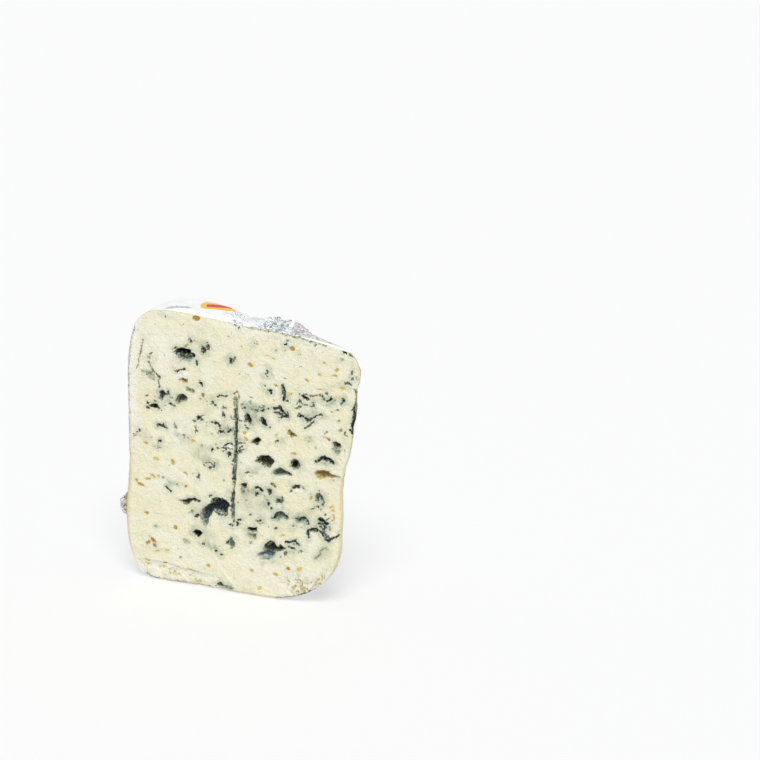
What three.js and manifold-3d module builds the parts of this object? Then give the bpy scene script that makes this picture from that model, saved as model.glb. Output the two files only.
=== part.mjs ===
// A wedge of blue-veined ewe's-milk cheese, cut like a slice of cake from a foil-wrapped half wheel.
// Two pieces: the cheese itself, and the printed foil that was cut through with it. The foil lies on the
// top, round the heel (the wheel's old rim), on the back cut and under the base; the front cut is bare.
//
// Frame, millimetres: +Z up, the foil's base on z = 0, the bare cut face towards -Y and square to it,
// the heel towards -X and the tip, where the wheel's axis was, towards +X.
import * as THREE from "three";
import { mergeVertices } from "three/addons/utils/BufferGeometryUtils.js";
import Module from "manifold-3d";

const wasm = await Module();
wasm.setup();

// ---- Driving dimensions ----------------------------------------------------------------------------
const wheelRadius = 100; // from the wheel's axis to the widest part of the heel
const heelHeight = 111; // paste height behind the heel's shoulder
const tipHeight = 102.3; // paste height where the tip rounds over: a ripe wheel sinks in the middle
const topCrown = 2.0; // how far the top swells above the straight line from heel to tip
const sliceAngle = 22; // degrees between the two cuts
const backRound = 11; // the foil-wrapped back cut has slumped round along its top edge
const backFootRound = 4; // and less along the foot, where the wedge stands

const shoulderDepth = 21; // heel's top shoulder: how far down the heel it starts
const shoulderReach = 19; // and how far over the top it ends
const heelLean = 3.3; // the heel leans in by this much at the foot of the shoulder
const footRise = 20; // heel's foot: rounded up to this height, where the heel is widest
const footReach = 10; // and in to this distance under the base

const tipTopRadius = 0.9; // paste left out round the wheel's axis at the top of the tip
const tipMidRadius = 9.2; // and half way down, where crumbs have broken away
const tipRound = 8.5; // the tip's rounded top corner, down the edge
const tipRoundReach = 5; // and along the top
const toeRise = 22; // the tip's worn bottom corner, up the edge
const toeReach = 34; // and out along the base, from the wheel's axis

const foilThickness = 0.4;
const foilGap = 0.3; // clearance between the foil and the paste
const foilTipMargin = 3; // the foil stops this far short of the tip's edge

const needleRadius = 0.8; // the spike that pierces the wheel to let air in
const channelDistance = 52; // the opened channel's distance from the wheel's axis
const channelLean = 1; // how far its two ends stray from upright
const channelFoot = 28; // its lower end, above the base
const channelDrop = 28; // its upper end, below the heel's height

const pleatHeight = 11; // crumpled foil pinched out at the heel's front edge
const pleatFoot = 24;
const pleatReach = 2.6;
const pleatDepth = 4;

// The larger mould cavities that the cut opened. Each is measured from the heel's widest point or from the
// wheel's axis, and from the base or down from the heel's height, with its width, height and depth.
const cavities = [
  { fromHeel: 27.5, fromTop: 16, width: 9, height: 5, depth: 5 },
  { fromHeel: 26, fromTop: 34.5, width: 5.5, height: 3.5, depth: 3 },
  { fromHeel: 14, fromTop: 38.7, width: 5.5, height: 3, depth: 4 },
  { fromAxis: 39.5, fromBase: 56, width: 8, height: 5, depth: 5 },
  { fromAxis: 33, fromBase: 51.8, width: 7, height: 3.5, depth: 2.5 },
  { fromAxis: 27, fromBase: 56, width: 4.5, height: 5, depth: 4 },
  { fromHeel: 27.5, fromBase: 35, width: 8, height: 3, depth: 2.5 },
  { fromHeel: 40.5, fromBase: 35, width: 10, height: 5.5, depth: 5 },
  { fromHeel: 35, fromBase: 30, width: 4.5, height: 7, depth: 4 },
  { fromHeel: 31, fromBase: 22, width: 3, height: 2.6, depth: 3 },
  { fromAxis: 36.5, fromBase: 20, width: 10, height: 5, depth: 4.5 },
];

// ---- Derived places ----------------------------------------------------------------------------------
const slice = THREE.MathUtils.degToRad(sliceAngle);
const pasteBase = foilGap + foilThickness; // the paste stands on the foil
const pleatTie = 1; // how far the pleat runs into the foil it is part of
const rings = 16; // outlines between one cut and the other
const outlinePoints = 88;

// The cut face's outline: points of (distance from the wheel's axis, height), each with its outward normal.
function faceOutline() {
  const base = pasteBase;
  const shoulderX = wheelRadius - heelLean;
  const topX = shoulderX - shoulderReach + heelLean;
  const crownX = (topX + tipTopRadius) / 2;
  const crownZ = (heelHeight + tipHeight) / 2 + topCrown;
  const midZ = tipHeight / 2;
  const shape = new THREE.Shape();
  shape.moveTo(toeReach, base);
  shape.lineTo(wheelRadius - footReach, base);
  shape.absellipse(wheelRadius - footReach, base + footRise, footReach, footRise, -Math.PI / 2, 0, false);
  shape.quadraticCurveTo(
    shoulderX - heelLean / 4,
    base + heelHeight / 2,
    shoulderX,
    base + heelHeight - shoulderDepth,
  );
  shape.quadraticCurveTo(shoulderX - heelLean / 2, base + heelHeight, topX, base + heelHeight);
  shape.quadraticCurveTo(crownX, base + crownZ, tipTopRadius + tipRoundReach, base + tipHeight);
  shape.quadraticCurveTo(tipTopRadius, base + tipHeight, tipTopRadius, base + tipHeight - tipRound);
  shape.bezierCurveTo(
    tipTopRadius + 1,
    base + midZ + 2 * tipRound,
    tipMidRadius,
    base + midZ + tipRound,
    tipMidRadius,
    base + midZ,
  );
  shape.lineTo(tipMidRadius + 1.5, base + toeRise);
  shape.quadraticCurveTo(tipMidRadius + 5, base + toeRise / 6, toeReach, base);
  const points = shape.getSpacedPoints(outlinePoints).slice(0, -1);
  return points.map((p, i) => {
    const before = points[(i + points.length - 1) % points.length];
    const after = points[(i + 1) % points.length];
    const outward = new THREE.Vector2(after.y - before.y, before.x - after.x).normalize();
    return { r: p.x, z: p.y, outward };
  });
}

// A closed solid: the outline carried round the wheel's axis, from the angle `from` to the back cut, and
// grown by `grow` all over. Near the back cut it turns in on an arc, of backFootRound at the foot and
// backRound at the top, and less where the slice is too thin. The rings gather towards the back.
function sweptRound(from, grow) {
  const outline = faceOutline();
  const count = outline.length;
  const back = new THREE.Vector3(Math.sin(slice), Math.cos(slice), 0);
  const position = [];
  const index = [];
  for (let k = 0; k < rings; k += 1) {
    const left = 1 - k / (rings - 1);
    const angle = slice - (slice - from) * left * left;
    outline.forEach(({ r, z, outward }) => {
      const rise = (z - pasteBase) / heelHeight;
      const wanted = THREE.MathUtils.lerp(backFootRound, backRound, rise);
      const arc = Math.min(wanted, (r * Math.sin(slice)) / 2);
      const toBack = r * Math.sin(slice - angle);
      const turned = Math.asin(THREE.MathUtils.clamp(1 - toBack / arc, 0, 1));
      const shift = grow * Math.cos(turned) - arc * (1 - Math.cos(turned));
      const ringR = r + outward.x * shift;
      const point = new THREE.Vector3(-Math.cos(angle), Math.sin(angle), 0).multiplyScalar(ringR);
      point.z = z + outward.y * shift;
      point.addScaledVector(back, grow * Math.sin(turned));
      position.push(point.x, point.y, point.z);
    });
  }
  for (let k = 0; k + 1 < rings; k += 1) {
    for (let i = 0; i < count; i += 1) {
      const a = k * count + i;
      const b = k * count + ((i + 1) % count);
      index.push(a, b, a + count, b, b + count, a + count);
    }
  }
  const last = (rings - 1) * count;
  const flat = outline.map(({ r, z }) => new THREE.Vector2(r, z));
  THREE.ShapeUtils.triangulateShape(flat, []).forEach(([a, b, c]) => {
    index.push(a, c, b, last + a, last + b, last + c);
  });
  const geometry = new THREE.BufferGeometry();
  geometry.setAttribute("position", new THREE.Float32BufferAttribute(position, 3));
  geometry.setIndex(index);
  return geometry;
}

// ---- To manifold-3d and back -------------------------------------------------------------------------
function solid(geometry, matrix = new THREE.Matrix4()) {
  const bare = geometry.clone().applyMatrix4(matrix);
  bare.deleteAttribute("normal");
  bare.deleteAttribute("uv");
  const merged = mergeVertices(bare, 1e-4);
  return new wasm.Manifold(
    new wasm.Mesh({
      numProp: 3,
      vertProperties: merged.getAttribute("position").array,
      triVerts: new Uint32Array(merged.index.array),
    }),
  );
}

function geometryOf(made) {
  const mesh = made.getMesh();
  const geometry = new THREE.BufferGeometry();
  const position = new Float32Array(mesh.numVert * 3);
  for (let i = 0; i < mesh.numVert; i += 1) {
    position.set(mesh.vertProperties.subarray(i * mesh.numProp, i * mesh.numProp + 3), i * 3);
  }
  geometry.setAttribute("position", new THREE.BufferAttribute(position, 3));
  geometry.setIndex(new THREE.BufferAttribute(new Uint32Array(mesh.triVerts), 1));
  geometry.computeVertexNormals();
  return geometry;
}

// Everything in front of the front cut.
function beforeFrontCut() {
  const reach = 4 * wheelRadius;
  const place = new THREE.Matrix4().makeTranslation(0, -reach / 2, 0);
  return solid(new THREE.BoxGeometry(reach, reach, reach), place);
}

// ---- The cheese ----------------------------------------------------------------------------------------
function cavitySolid({ fromHeel, fromAxis, fromTop, fromBase, width, height, depth }) {
  const r = fromAxis ?? wheelRadius - fromHeel;
  const z = pasteBase + (fromBase ?? heelHeight - fromTop);
  const matrix = new THREE.Matrix4().makeTranslation(-r, 0, z);
  matrix.scale(new THREE.Vector3(width / 2, depth, height / 2));
  return solid(new THREE.IcosahedronGeometry(1, 2), matrix);
}

function channelSolid() {
  const foot = new THREE.Vector3(-(channelDistance + channelLean), 0, pasteBase + channelFoot);
  const top = pasteBase + heelHeight - channelDrop;
  const head = new THREE.Vector3(-(channelDistance - channelLean), 0, top);
  const along = head.clone().sub(foot);
  const up = new THREE.Vector3(0, 1, 0);
  const turn = new THREE.Quaternion().setFromUnitVectors(up, along.clone().normalize());
  const middle = foot.clone().add(head).multiplyScalar(0.5);
  const matrix = new THREE.Matrix4().compose(middle, turn, new THREE.Vector3(1, 1, 1));
  return solid(new THREE.CylinderGeometry(needleRadius, needleRadius, along.length(), 10), matrix);
}

function makeCheese() {
  let paste = solid(sweptRound(0, 0));
  cavities.forEach((cavity) => {
    paste = paste.subtract(cavitySolid(cavity));
  });
  return paste.subtract(channelSolid());
}

// ---- The foil ------------------------------------------------------------------------------------------
// A pinched fold standing out of the heel's front edge, drawn in plan as a zigzag strip and raised upright.
function pleatSolid() {
  const heel = -(wheelRadius + foilGap);
  const fold = new THREE.Shape([
    new THREE.Vector2(heel + foilThickness, foilThickness),
    new THREE.Vector2(heel - pleatReach, 0),
    new THREE.Vector2(heel - pleatReach, pleatDepth / 3),
    new THREE.Vector2(heel - pleatReach / 2, pleatDepth / 2),
    new THREE.Vector2(heel - pleatReach, (2 * pleatDepth) / 3),
    new THREE.Vector2(heel, pleatDepth + pleatTie),
    new THREE.Vector2(heel + pleatTie, pleatDepth + pleatTie),
  ]);
  const place = new THREE.Matrix4().makeTranslation(0, 0, pasteBase + pleatFoot);
  return solid(new THREE.ExtrudeGeometry(fold, { depth: pleatHeight, bevelEnabled: false }), place);
}

// The slab of foil and paste beyond the foil's end near the tip, leaning with the tip's edge.
function beyondTipEnd() {
  const reach = 4 * wheelRadius;
  const topX = tipTopRadius + foilTipMargin;
  const lean = Math.atan2(tipMidRadius - tipTopRadius, tipHeight / 2);
  const turn = new THREE.Matrix4().makeRotationY(lean);
  const place = new THREE.Matrix4().makeTranslation(reach / 2, 0, 0);
  const pivot = new THREE.Matrix4().makeTranslation(-topX, 0, pasteBase + tipHeight);
  return solid(new THREE.BoxGeometry(reach, reach, reach), pivot.multiply(turn).multiply(place));
}

function makeFoil() {
  const early = -slice / 3; // starts in front of the cut, so that the foil's front edge is cut flush
  return solid(sweptRound(early, foilGap + foilThickness))
    .add(pleatSolid())
    .subtract(solid(sweptRound(early, foilGap)))
    .subtract(beforeFrontCut())
    .subtract(beyondTipEnd());
}

// ---- Assembly ------------------------------------------------------------------------------------------
function named(name, made, finish) {
  const mesh = new THREE.Mesh(geometryOf(made), new THREE.MeshStandardMaterial(finish));
  mesh.name = name;
  return mesh;
}

const pasteFinish = { color: 0xefe8cc, roughness: 0.55, metalness: 0 };
const foilFinish = { color: 0xe6ebef, roughness: 0.35, metalness: 0.35 };

const wedge = new THREE.Group();
wedge.add(named("cheese", makeCheese(), pasteFinish));
wedge.add(named("foil_wrapper", makeFoil(), foilFinish));

// Set down with the footprint's middle on the origin.
const box = new THREE.Box3().setFromObject(wedge);
const middle = box.getCenter(new THREE.Vector3());
wedge.position.set(-middle.x, -middle.y, -box.min.z);

export default wedge;
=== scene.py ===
import bpy
import numpy as np
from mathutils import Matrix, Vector


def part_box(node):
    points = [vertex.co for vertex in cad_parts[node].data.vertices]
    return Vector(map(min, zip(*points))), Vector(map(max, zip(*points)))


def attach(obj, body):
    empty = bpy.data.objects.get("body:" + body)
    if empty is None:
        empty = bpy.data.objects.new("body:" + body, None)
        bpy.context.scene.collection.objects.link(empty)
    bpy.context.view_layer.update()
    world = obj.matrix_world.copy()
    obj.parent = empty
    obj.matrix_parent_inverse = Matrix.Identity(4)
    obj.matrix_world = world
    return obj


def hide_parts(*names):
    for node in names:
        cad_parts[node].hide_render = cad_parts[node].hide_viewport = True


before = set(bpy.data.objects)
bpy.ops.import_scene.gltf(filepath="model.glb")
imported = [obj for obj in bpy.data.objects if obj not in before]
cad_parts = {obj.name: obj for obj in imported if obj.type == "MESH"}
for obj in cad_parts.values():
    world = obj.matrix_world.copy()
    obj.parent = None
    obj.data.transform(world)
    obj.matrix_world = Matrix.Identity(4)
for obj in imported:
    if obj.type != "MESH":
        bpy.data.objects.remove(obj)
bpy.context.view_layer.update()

# ---- Camera -------------------------------------------------------------------------------------------
# A long lens before the cut face, from the tip's side and from above. The wheel's axis, which the tip
# points at, stands one wheel radius from the heel's widest point, and everything is placed from it.
MM = 0.001
WHEEL_RADIUS = 100 * MM
CAMERA_FROM_AXIS = Vector((0.2511, -0.6161, 0.2975))  # from the foot of the axis, at the cut face
VIEW_DIRECTION = Vector((-0.3514, 0.8887, -0.2944))
paste_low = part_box("cheese")[0]
axis_x = paste_low.x + WHEEL_RADIUS
face_y = paste_low.y
paste_base = 0.51 * MM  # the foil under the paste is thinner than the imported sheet

camera_data = bpy.data.cameras.new("camera")
camera_data.lens = 90
camera_data.sensor_width = 36
camera_data.clip_end = 50
camera = bpy.data.objects.new("camera", camera_data)
bpy.context.scene.collection.objects.link(camera)
camera.location = Vector((axis_x, face_y, paste_base)) + CAMERA_FROM_AXIS
camera.rotation_euler = VIEW_DIRECTION.to_track_quat("-Z", "Y").to_euler()
bpy.context.scene.camera = camera

# ---- The cheese ---------------------------------------------------------------------------------------
# One slice of moist, crumbly ivory paste, cut by a wire through its piercing channels and mould cavities.
# The cut face is a fine grid pushed in at each cavity; the rest is that face's rim carried round the axis.
ACROSS, UP = 256, 288  # points over the cut face, heel to tip and base to top
WAIST = 98  # the heel's waist is this far from the axis; "across" counts from it towards the tip, in mm
FACE_WIDE, FACE_HIGH = 92, 105  # the cut face's mean width and height, mm
HEEL_HEIGHT = 111  # mm
SLICE = np.radians(22)  # angle between the two cuts
BACK_ROUND, FOOT_ROUND = 11, 4  # the back cut's rounded edge at the top and at the foot, mm
HEEL_ROUND, CORNER_ROUND = 7, 5.5  # more rounding towards the heel's top, and less right at its corner
RIM_RINGS, BACK_RINGS = 12, 8  # rings of points round the slice, and over its back cut
FACE_EDGE = 0.9  # how far in from its rim the cut face starts to turn over, mm

# The cut face's outline, mm across from the heel's waist and up from the paste's base, corner to corner.
UNDERSIDE = [(1.8, 5.2), (3.6, 2.4), (6, .6), (9, 0), (22, 0), (38, 0), (52, 0), (63, .2), (70, 1.8),
             (75, 4), (80, 7.4), (84.3, 12)]
TIP_EDGE = [(84.3, 12), (87, 17), (88.5, 22), (89.2, 30), (89.6, 38), (89.4, 45), (89.8, 50), (90.8, 56),
            (92.8, 61.5), (94.1, 68), (95.3, 75), (96.5, 82), (96.2, 88.5), (97.2, 92), (97.7, 96),
            (96.2, 99.8)]
TOP_EDGE = [(5, 105), (7.6, 108), (11.5, 110.2), (17, 111), (25, 110.8), (38, 109.6), (50, 108.2),
            (60, 107.5), (70, 106.6), (80, 105.1), (90, 103.1), (94, 101.9), (96.2, 99.8)]
HEEL_EDGE = [(1.8, 5.2), (0, 8.5), (-1.5, 13), (-2.3, 20), (-2.1, 30), (-.9, 40), (0, 50), (.3, 60),
             (.5, 70), (.8, 80), (1.3, 90), (2, 95), (3.2, 100), (5, 105)]

# Mould pockets that the cut opened: depth, how dark their lining is at the top and at the foot, its tint
# (-1 blue-grey, 1 olive-brown), and their outline, across and up. The top is darker than the foot as painted
# shade under each pocket's overhang, over the mould's own dark colour.
POCKETS = [
    (5, 1, .92, 0, [(21.5, 95.2), (22.8, 96.3), (24.3, 97), (26.2, 97), (27.8, 96.5), (28.4, 95.3),
     (29.6, 94.9), (30, 93.8), (28.8, 93.6), (27.5, 94.5), (25.5, 94.3), (23.8, 94.5), (22, 94.6)]),
    (1.6, .66, .42, -.3, [(20.8, 94.8), (22, 94.5), (24, 94.4), (26, 94.2), (28, 94.4), (29, 93.3),
     (28, 92.3), (26, 91.9), (24, 92), (22.8, 93), (21.8, 93.8)]),
    (2.2, .72, .44, .1, [(20.9, 76), (21.6, 77.2), (22.6, 78), (24, 78.5), (25.4, 78), (26.5, 77.2),
     (25.5, 76.2), (24.5, 75.4), (22.8, 75), (22.3, 74.2), (21.2, 74.4)]),
    (3, 1, 1, 0, [(9.4, 72.2), (10.4, 72.8), (12, 73.1), (13, 72.9), (13.5, 72), (14.4, 71.2), (13.6, 70.8),
     (12.8, 71.4), (12, 71.3), (10.6, 71.7)]),
    (.9, .84, .78, -.3, [(13.9, 78.3), (15, 79.2), (16.4, 79), (17.2, 78), (18.2, 79), (19, 78),
     (18.8, 77.2), (17.8, 77.9), (16.8, 77.2), (16, 76), (15.2, 75.1), (14.6, 75.3), (14.3, 77)]),
    (.9, .92, .86, -.1, [(12.6, 64.8), (13.6, 65.4), (14.6, 65), (15.6, 65.9), (16, 64.8), (17.4, 63.6),
     (16.6, 63.2), (15.4, 64), (14, 64.3), (12.8, 64.3)]),
    (3.6, .82, .46, -.5, [(34.5, 35), (35.5, 35.5), (36, 36.8), (37, 37.5), (38.3, 38.1), (39.5, 37.8),
     (40, 37.2), (41.5, 37.5), (42.5, 36.8), (43.5, 35.6), (42.8, 35.1), (42, 34.5), (42.2, 33.5),
     (41.6, 32.4), (40.8, 31.8), (39.5, 31.7), (38.3, 32.2), (37, 32.6), (35.8, 32.4), (35, 31),
     (34.3, 29.6), (33.9, 28), (33.3, 26.5), (32.5, 25.2), (31.8, 26), (31.2, 27.2), (30.5, 28.5),
     (30.6, 30), (31, 31.5), (31.5, 32.8), (32.8, 33.8), (33.3, 34.5)]),
    (1.8, .95, .58, .45, [(21.8, 34.8), (23, 35.3), (24.3, 35.5), (25.5, 36.3), (26.2, 36.2), (27.2, 36.2),
     (28.3, 36.7), (29.2, 36.2), (30.5, 36.3), (30.6, 35.5), (29.5, 35.3), (28.3, 35.4), (27, 35.3),
     (26, 34.6), (25.5, 33.6), (24, 33.2), (22.8, 33.8)]),
    (3.6, 1, 1, 0, [(26.8, 22.3), (27.8, 23.5), (29.6, 23.7), (30.8, 22.7), (30.1, 21.1), (28.4, 20.7)]),
    (1.2, .62, .44, -.4, [(43.3, 23), (44.2, 21.5), (45, 20.5), (44.8, 18.7), (43.5, 17.7), (42.2, 18.8),
     (41.3, 20), (42.3, 21.5)]),
    (4, 1, 1, 0, [(50.4, 26.8), (51, 27.9), (54.3, 27.8), (54.5, 26.6), (53.5, 26.3), (51.2, 26.4)]),
    (1, .46, .36, .2, [(50.8, 25.5), (54.4, 25.4), (54.2, 23.8), (53.6, 22.9), (52.3, 23.5), (51, 24.2)]),
    (3.6, .88, .56, .1, [(56.8, 19.6), (57.8, 21), (59.2, 22.2), (60.3, 22.4), (61.4, 23), (62.4, 21.8),
     (63.2, 21.4), (64.2, 22.6), (65, 21.4), (66.6, 21.4), (65.6, 20.6), (64.6, 20.3), (64.4, 19.3),
     (62.6, 19.6), (61.2, 19.2), (60, 18.8), (58.4, 18.6)]),
    (1.8, .66, .4, -.7, [(53.9, 16.1), (55, 17.5), (56.6, 18.7), (58.4, 19.4), (60.4, 19.4), (62.4, 19.2),
     (61.8, 17.6), (60.6, 16.6), (59, 16.4), (57.4, 17), (56, 16.6)]),
    (3.4, .8, .6, .35, [(54.2, 55.2), (55.2, 56.6), (56.4, 57.6), (58.4, 58), (60.2, 58.3), (61.4, 57.2),
     (62.2, 56.2), (61.2, 55), (60.2, 53.4), (58.4, 53.3), (56.6, 54.3)]),
    (2, .7, .48, -.5, [(61.6, 51.2), (62.4, 53), (64.6, 53.9), (66.8, 53), (68.4, 52.6), (69.4, 51.8),
     (67.6, 51.4), (65.2, 50.9), (63.6, 50.2), (62.4, 50.3)]),
    (1.6, .62, .48, -.2, [(68.8, 56.4), (69.6, 57.6), (71, 58.4), (72.3, 57.6), (73.2, 56), (72.8, 54.6),
     (71.2, 53.9), (69.6, 54.2), (68.9, 55.2)]),
    (4, 1, 1, .5, [(69.3, 56.2), (70, 57.2), (71, 57), (71.4, 55.8), (70.8, 54.4), (69.8, 54.4)]),
    (2.8, .98, .98, .6, [(53, 62.6), (54.3, 64.2), (55.6, 64.8), (57, 64), (56, 62.9), (54.6, 62.3)]),
    (1.8, .76, .62, .4, [(86.4, 66.8), (87.8, 67.2), (89.2, 66.5), (89.6, 65.2), (88.6, 64.6), (87.2, 65),
     (86.6, 65.8)]),
    (.8, .4, .34, -.2, [(86.6, 64.8), (88.8, 64.4), (89.8, 63.8), (88.8, 62.3), (87.4, 62.6),
     (86.4, 63.6)]),
    (1.7, .88, .74, 0, [(50, 70), (50.4, 71.5), (50, 72.8), (51.4, 74.4), (52.6, 73.6), (53.2, 72.2),
     (53.4, 70.8), (52.2, 69.9), (51, 70.6)]),
    (1.7, .92, .8, -.1, [(56.8, 72.6), (58.2, 73.6), (59, 72.4), (59.8, 70.4), (59, 69.4), (58, 70.4),
     (57.2, 70.8)]),
    (.7, .62, .7, -.3, [(79.4, 45.2), (80.6, 46), (82, 45), (83, 43), (82.6, 41.2), (81.8, 41.4), (82, 43),
     (81, 43.6), (80.4, 42.2), (79.2, 43)]),
    (1.6, .62, .36, -.5, [(61.4, 33), (62, 34.5), (63.4, 35.8), (65, 36.4), (66.2, 35.6), (67.4, 34.6),
     (67.8, 33.2), (66.6, 32.8), (66, 33.8), (64.6, 33.6), (64, 32.4), (63, 31.8), (62, 32.2)]),
    (1.4, .66, .42, -.5, [(70.6, 34.6), (71.6, 34), (73, 34.6), (74.4, 35.4), (75.4, 33.8), (76.4, 33),
     (75.4, 32.4), (74.6, 33.4), (73.2, 33.2), (72, 32.4), (71, 32.8)]),
    (1.4, .98, .84, -.2, [(79.5, 58.2), (80.4, 59.6), (81.6, 60.6), (83.4, 61), (85.4, 60.6), (86.6, 59.6),
     (87.3, 58.4), (86.3, 58.2), (85.2, 59.4), (83.6, 59.2), (81.8, 59.4), (80.2, 57.8)]),
    (2.2, .42, .32, .95, [(78.6, 53.6), (79.6, 54.8), (82, 55.2), (84, 54.6), (86, 54), (89.6, 53.6),
     (87, 53), (84.2, 52.6), (82, 51.6), (79.6, 51.4), (79.8, 52.6)]),
    (1.4, 1, .84, -.2, [(48.2, 45), (49.4, 45.6), (50.8, 45.8), (50.6, 44.2), (50, 43.4), (49, 43.8),
     (48.6, 43)]),
    (1.4, 1, .95, 0, [(53.6, 44.6), (55, 45.4), (56.6, 44.9), (57.8, 43.8), (56.6, 43.6), (55.2, 44.2)]),
    (.7, .8, .8, .1, [(42.2, 57.4), (44, 57.9), (45, 56.9), (44.4, 56), (43, 55.8)]),
    (.9, .5, .42, .8, [(22.8, 84.2), (24, 85), (26.4, 84.6), (26.6, 83.2), (24.8, 82.9)]),
    (.9, .76, .6, .35, [(32.6, 96), (33.2, 97.6), (33, 98.8), (34.4, 98.4), (35.2, 97.6), (34.6, 96),
     (33.6, 95.2)]),
    (.9, .86, .6, -.2, [(35.8, .9), (37, 2.4), (38.4, 3), (39.2, 2), (40.6, 1.6), (42.6, 1.4), (41, .6),
     (37.4, .6)]),
    (1.2, 1, .95, 0, [(73.8, 84), (75.4, 83.6), (77, 82.9), (77.4, 82.2), (76.2, 82.1), (75, 82.7),
     (73.8, 83.4)]),
    (1.8, 1, .97, 0, [(83.2, 82.6), (84.8, 83.2), (85.4, 84.6), (86.4, 84.3), (85.6, 82.9), (84.2, 82.3)]),
    (1, .88, .8, .2, [(89.6, 82.4), (90.4, 84.8), (91.2, 84.9), (91, 83.8), (92, 83.4), (90.8, 83),
     (90.2, 82.2)]),
    (1.2, .6, .5, 1, [(67.9, 68.2), (68.6, 69.9), (70, 68.9), (71.2, 68.2), (72.5, 67.8), (70.6, 67.2),
     (69.5, 66.8), (68.8, 67.6)]),
    (.8, .9, .84, -.2, [(59, 43.6), (59.8, 45.2), (60.8, 44.6), (60.9, 43.2), (59.8, 42), (59.2, 42.6)]),
    (.9, .74, .66, -.3, [(62.6, 40), (63.4, 41.2), (64.6, 41.2), (65.6, 42.6), (66, 41.2), (65.2, 39.8),
     (64, 39.4)]),
]

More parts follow.
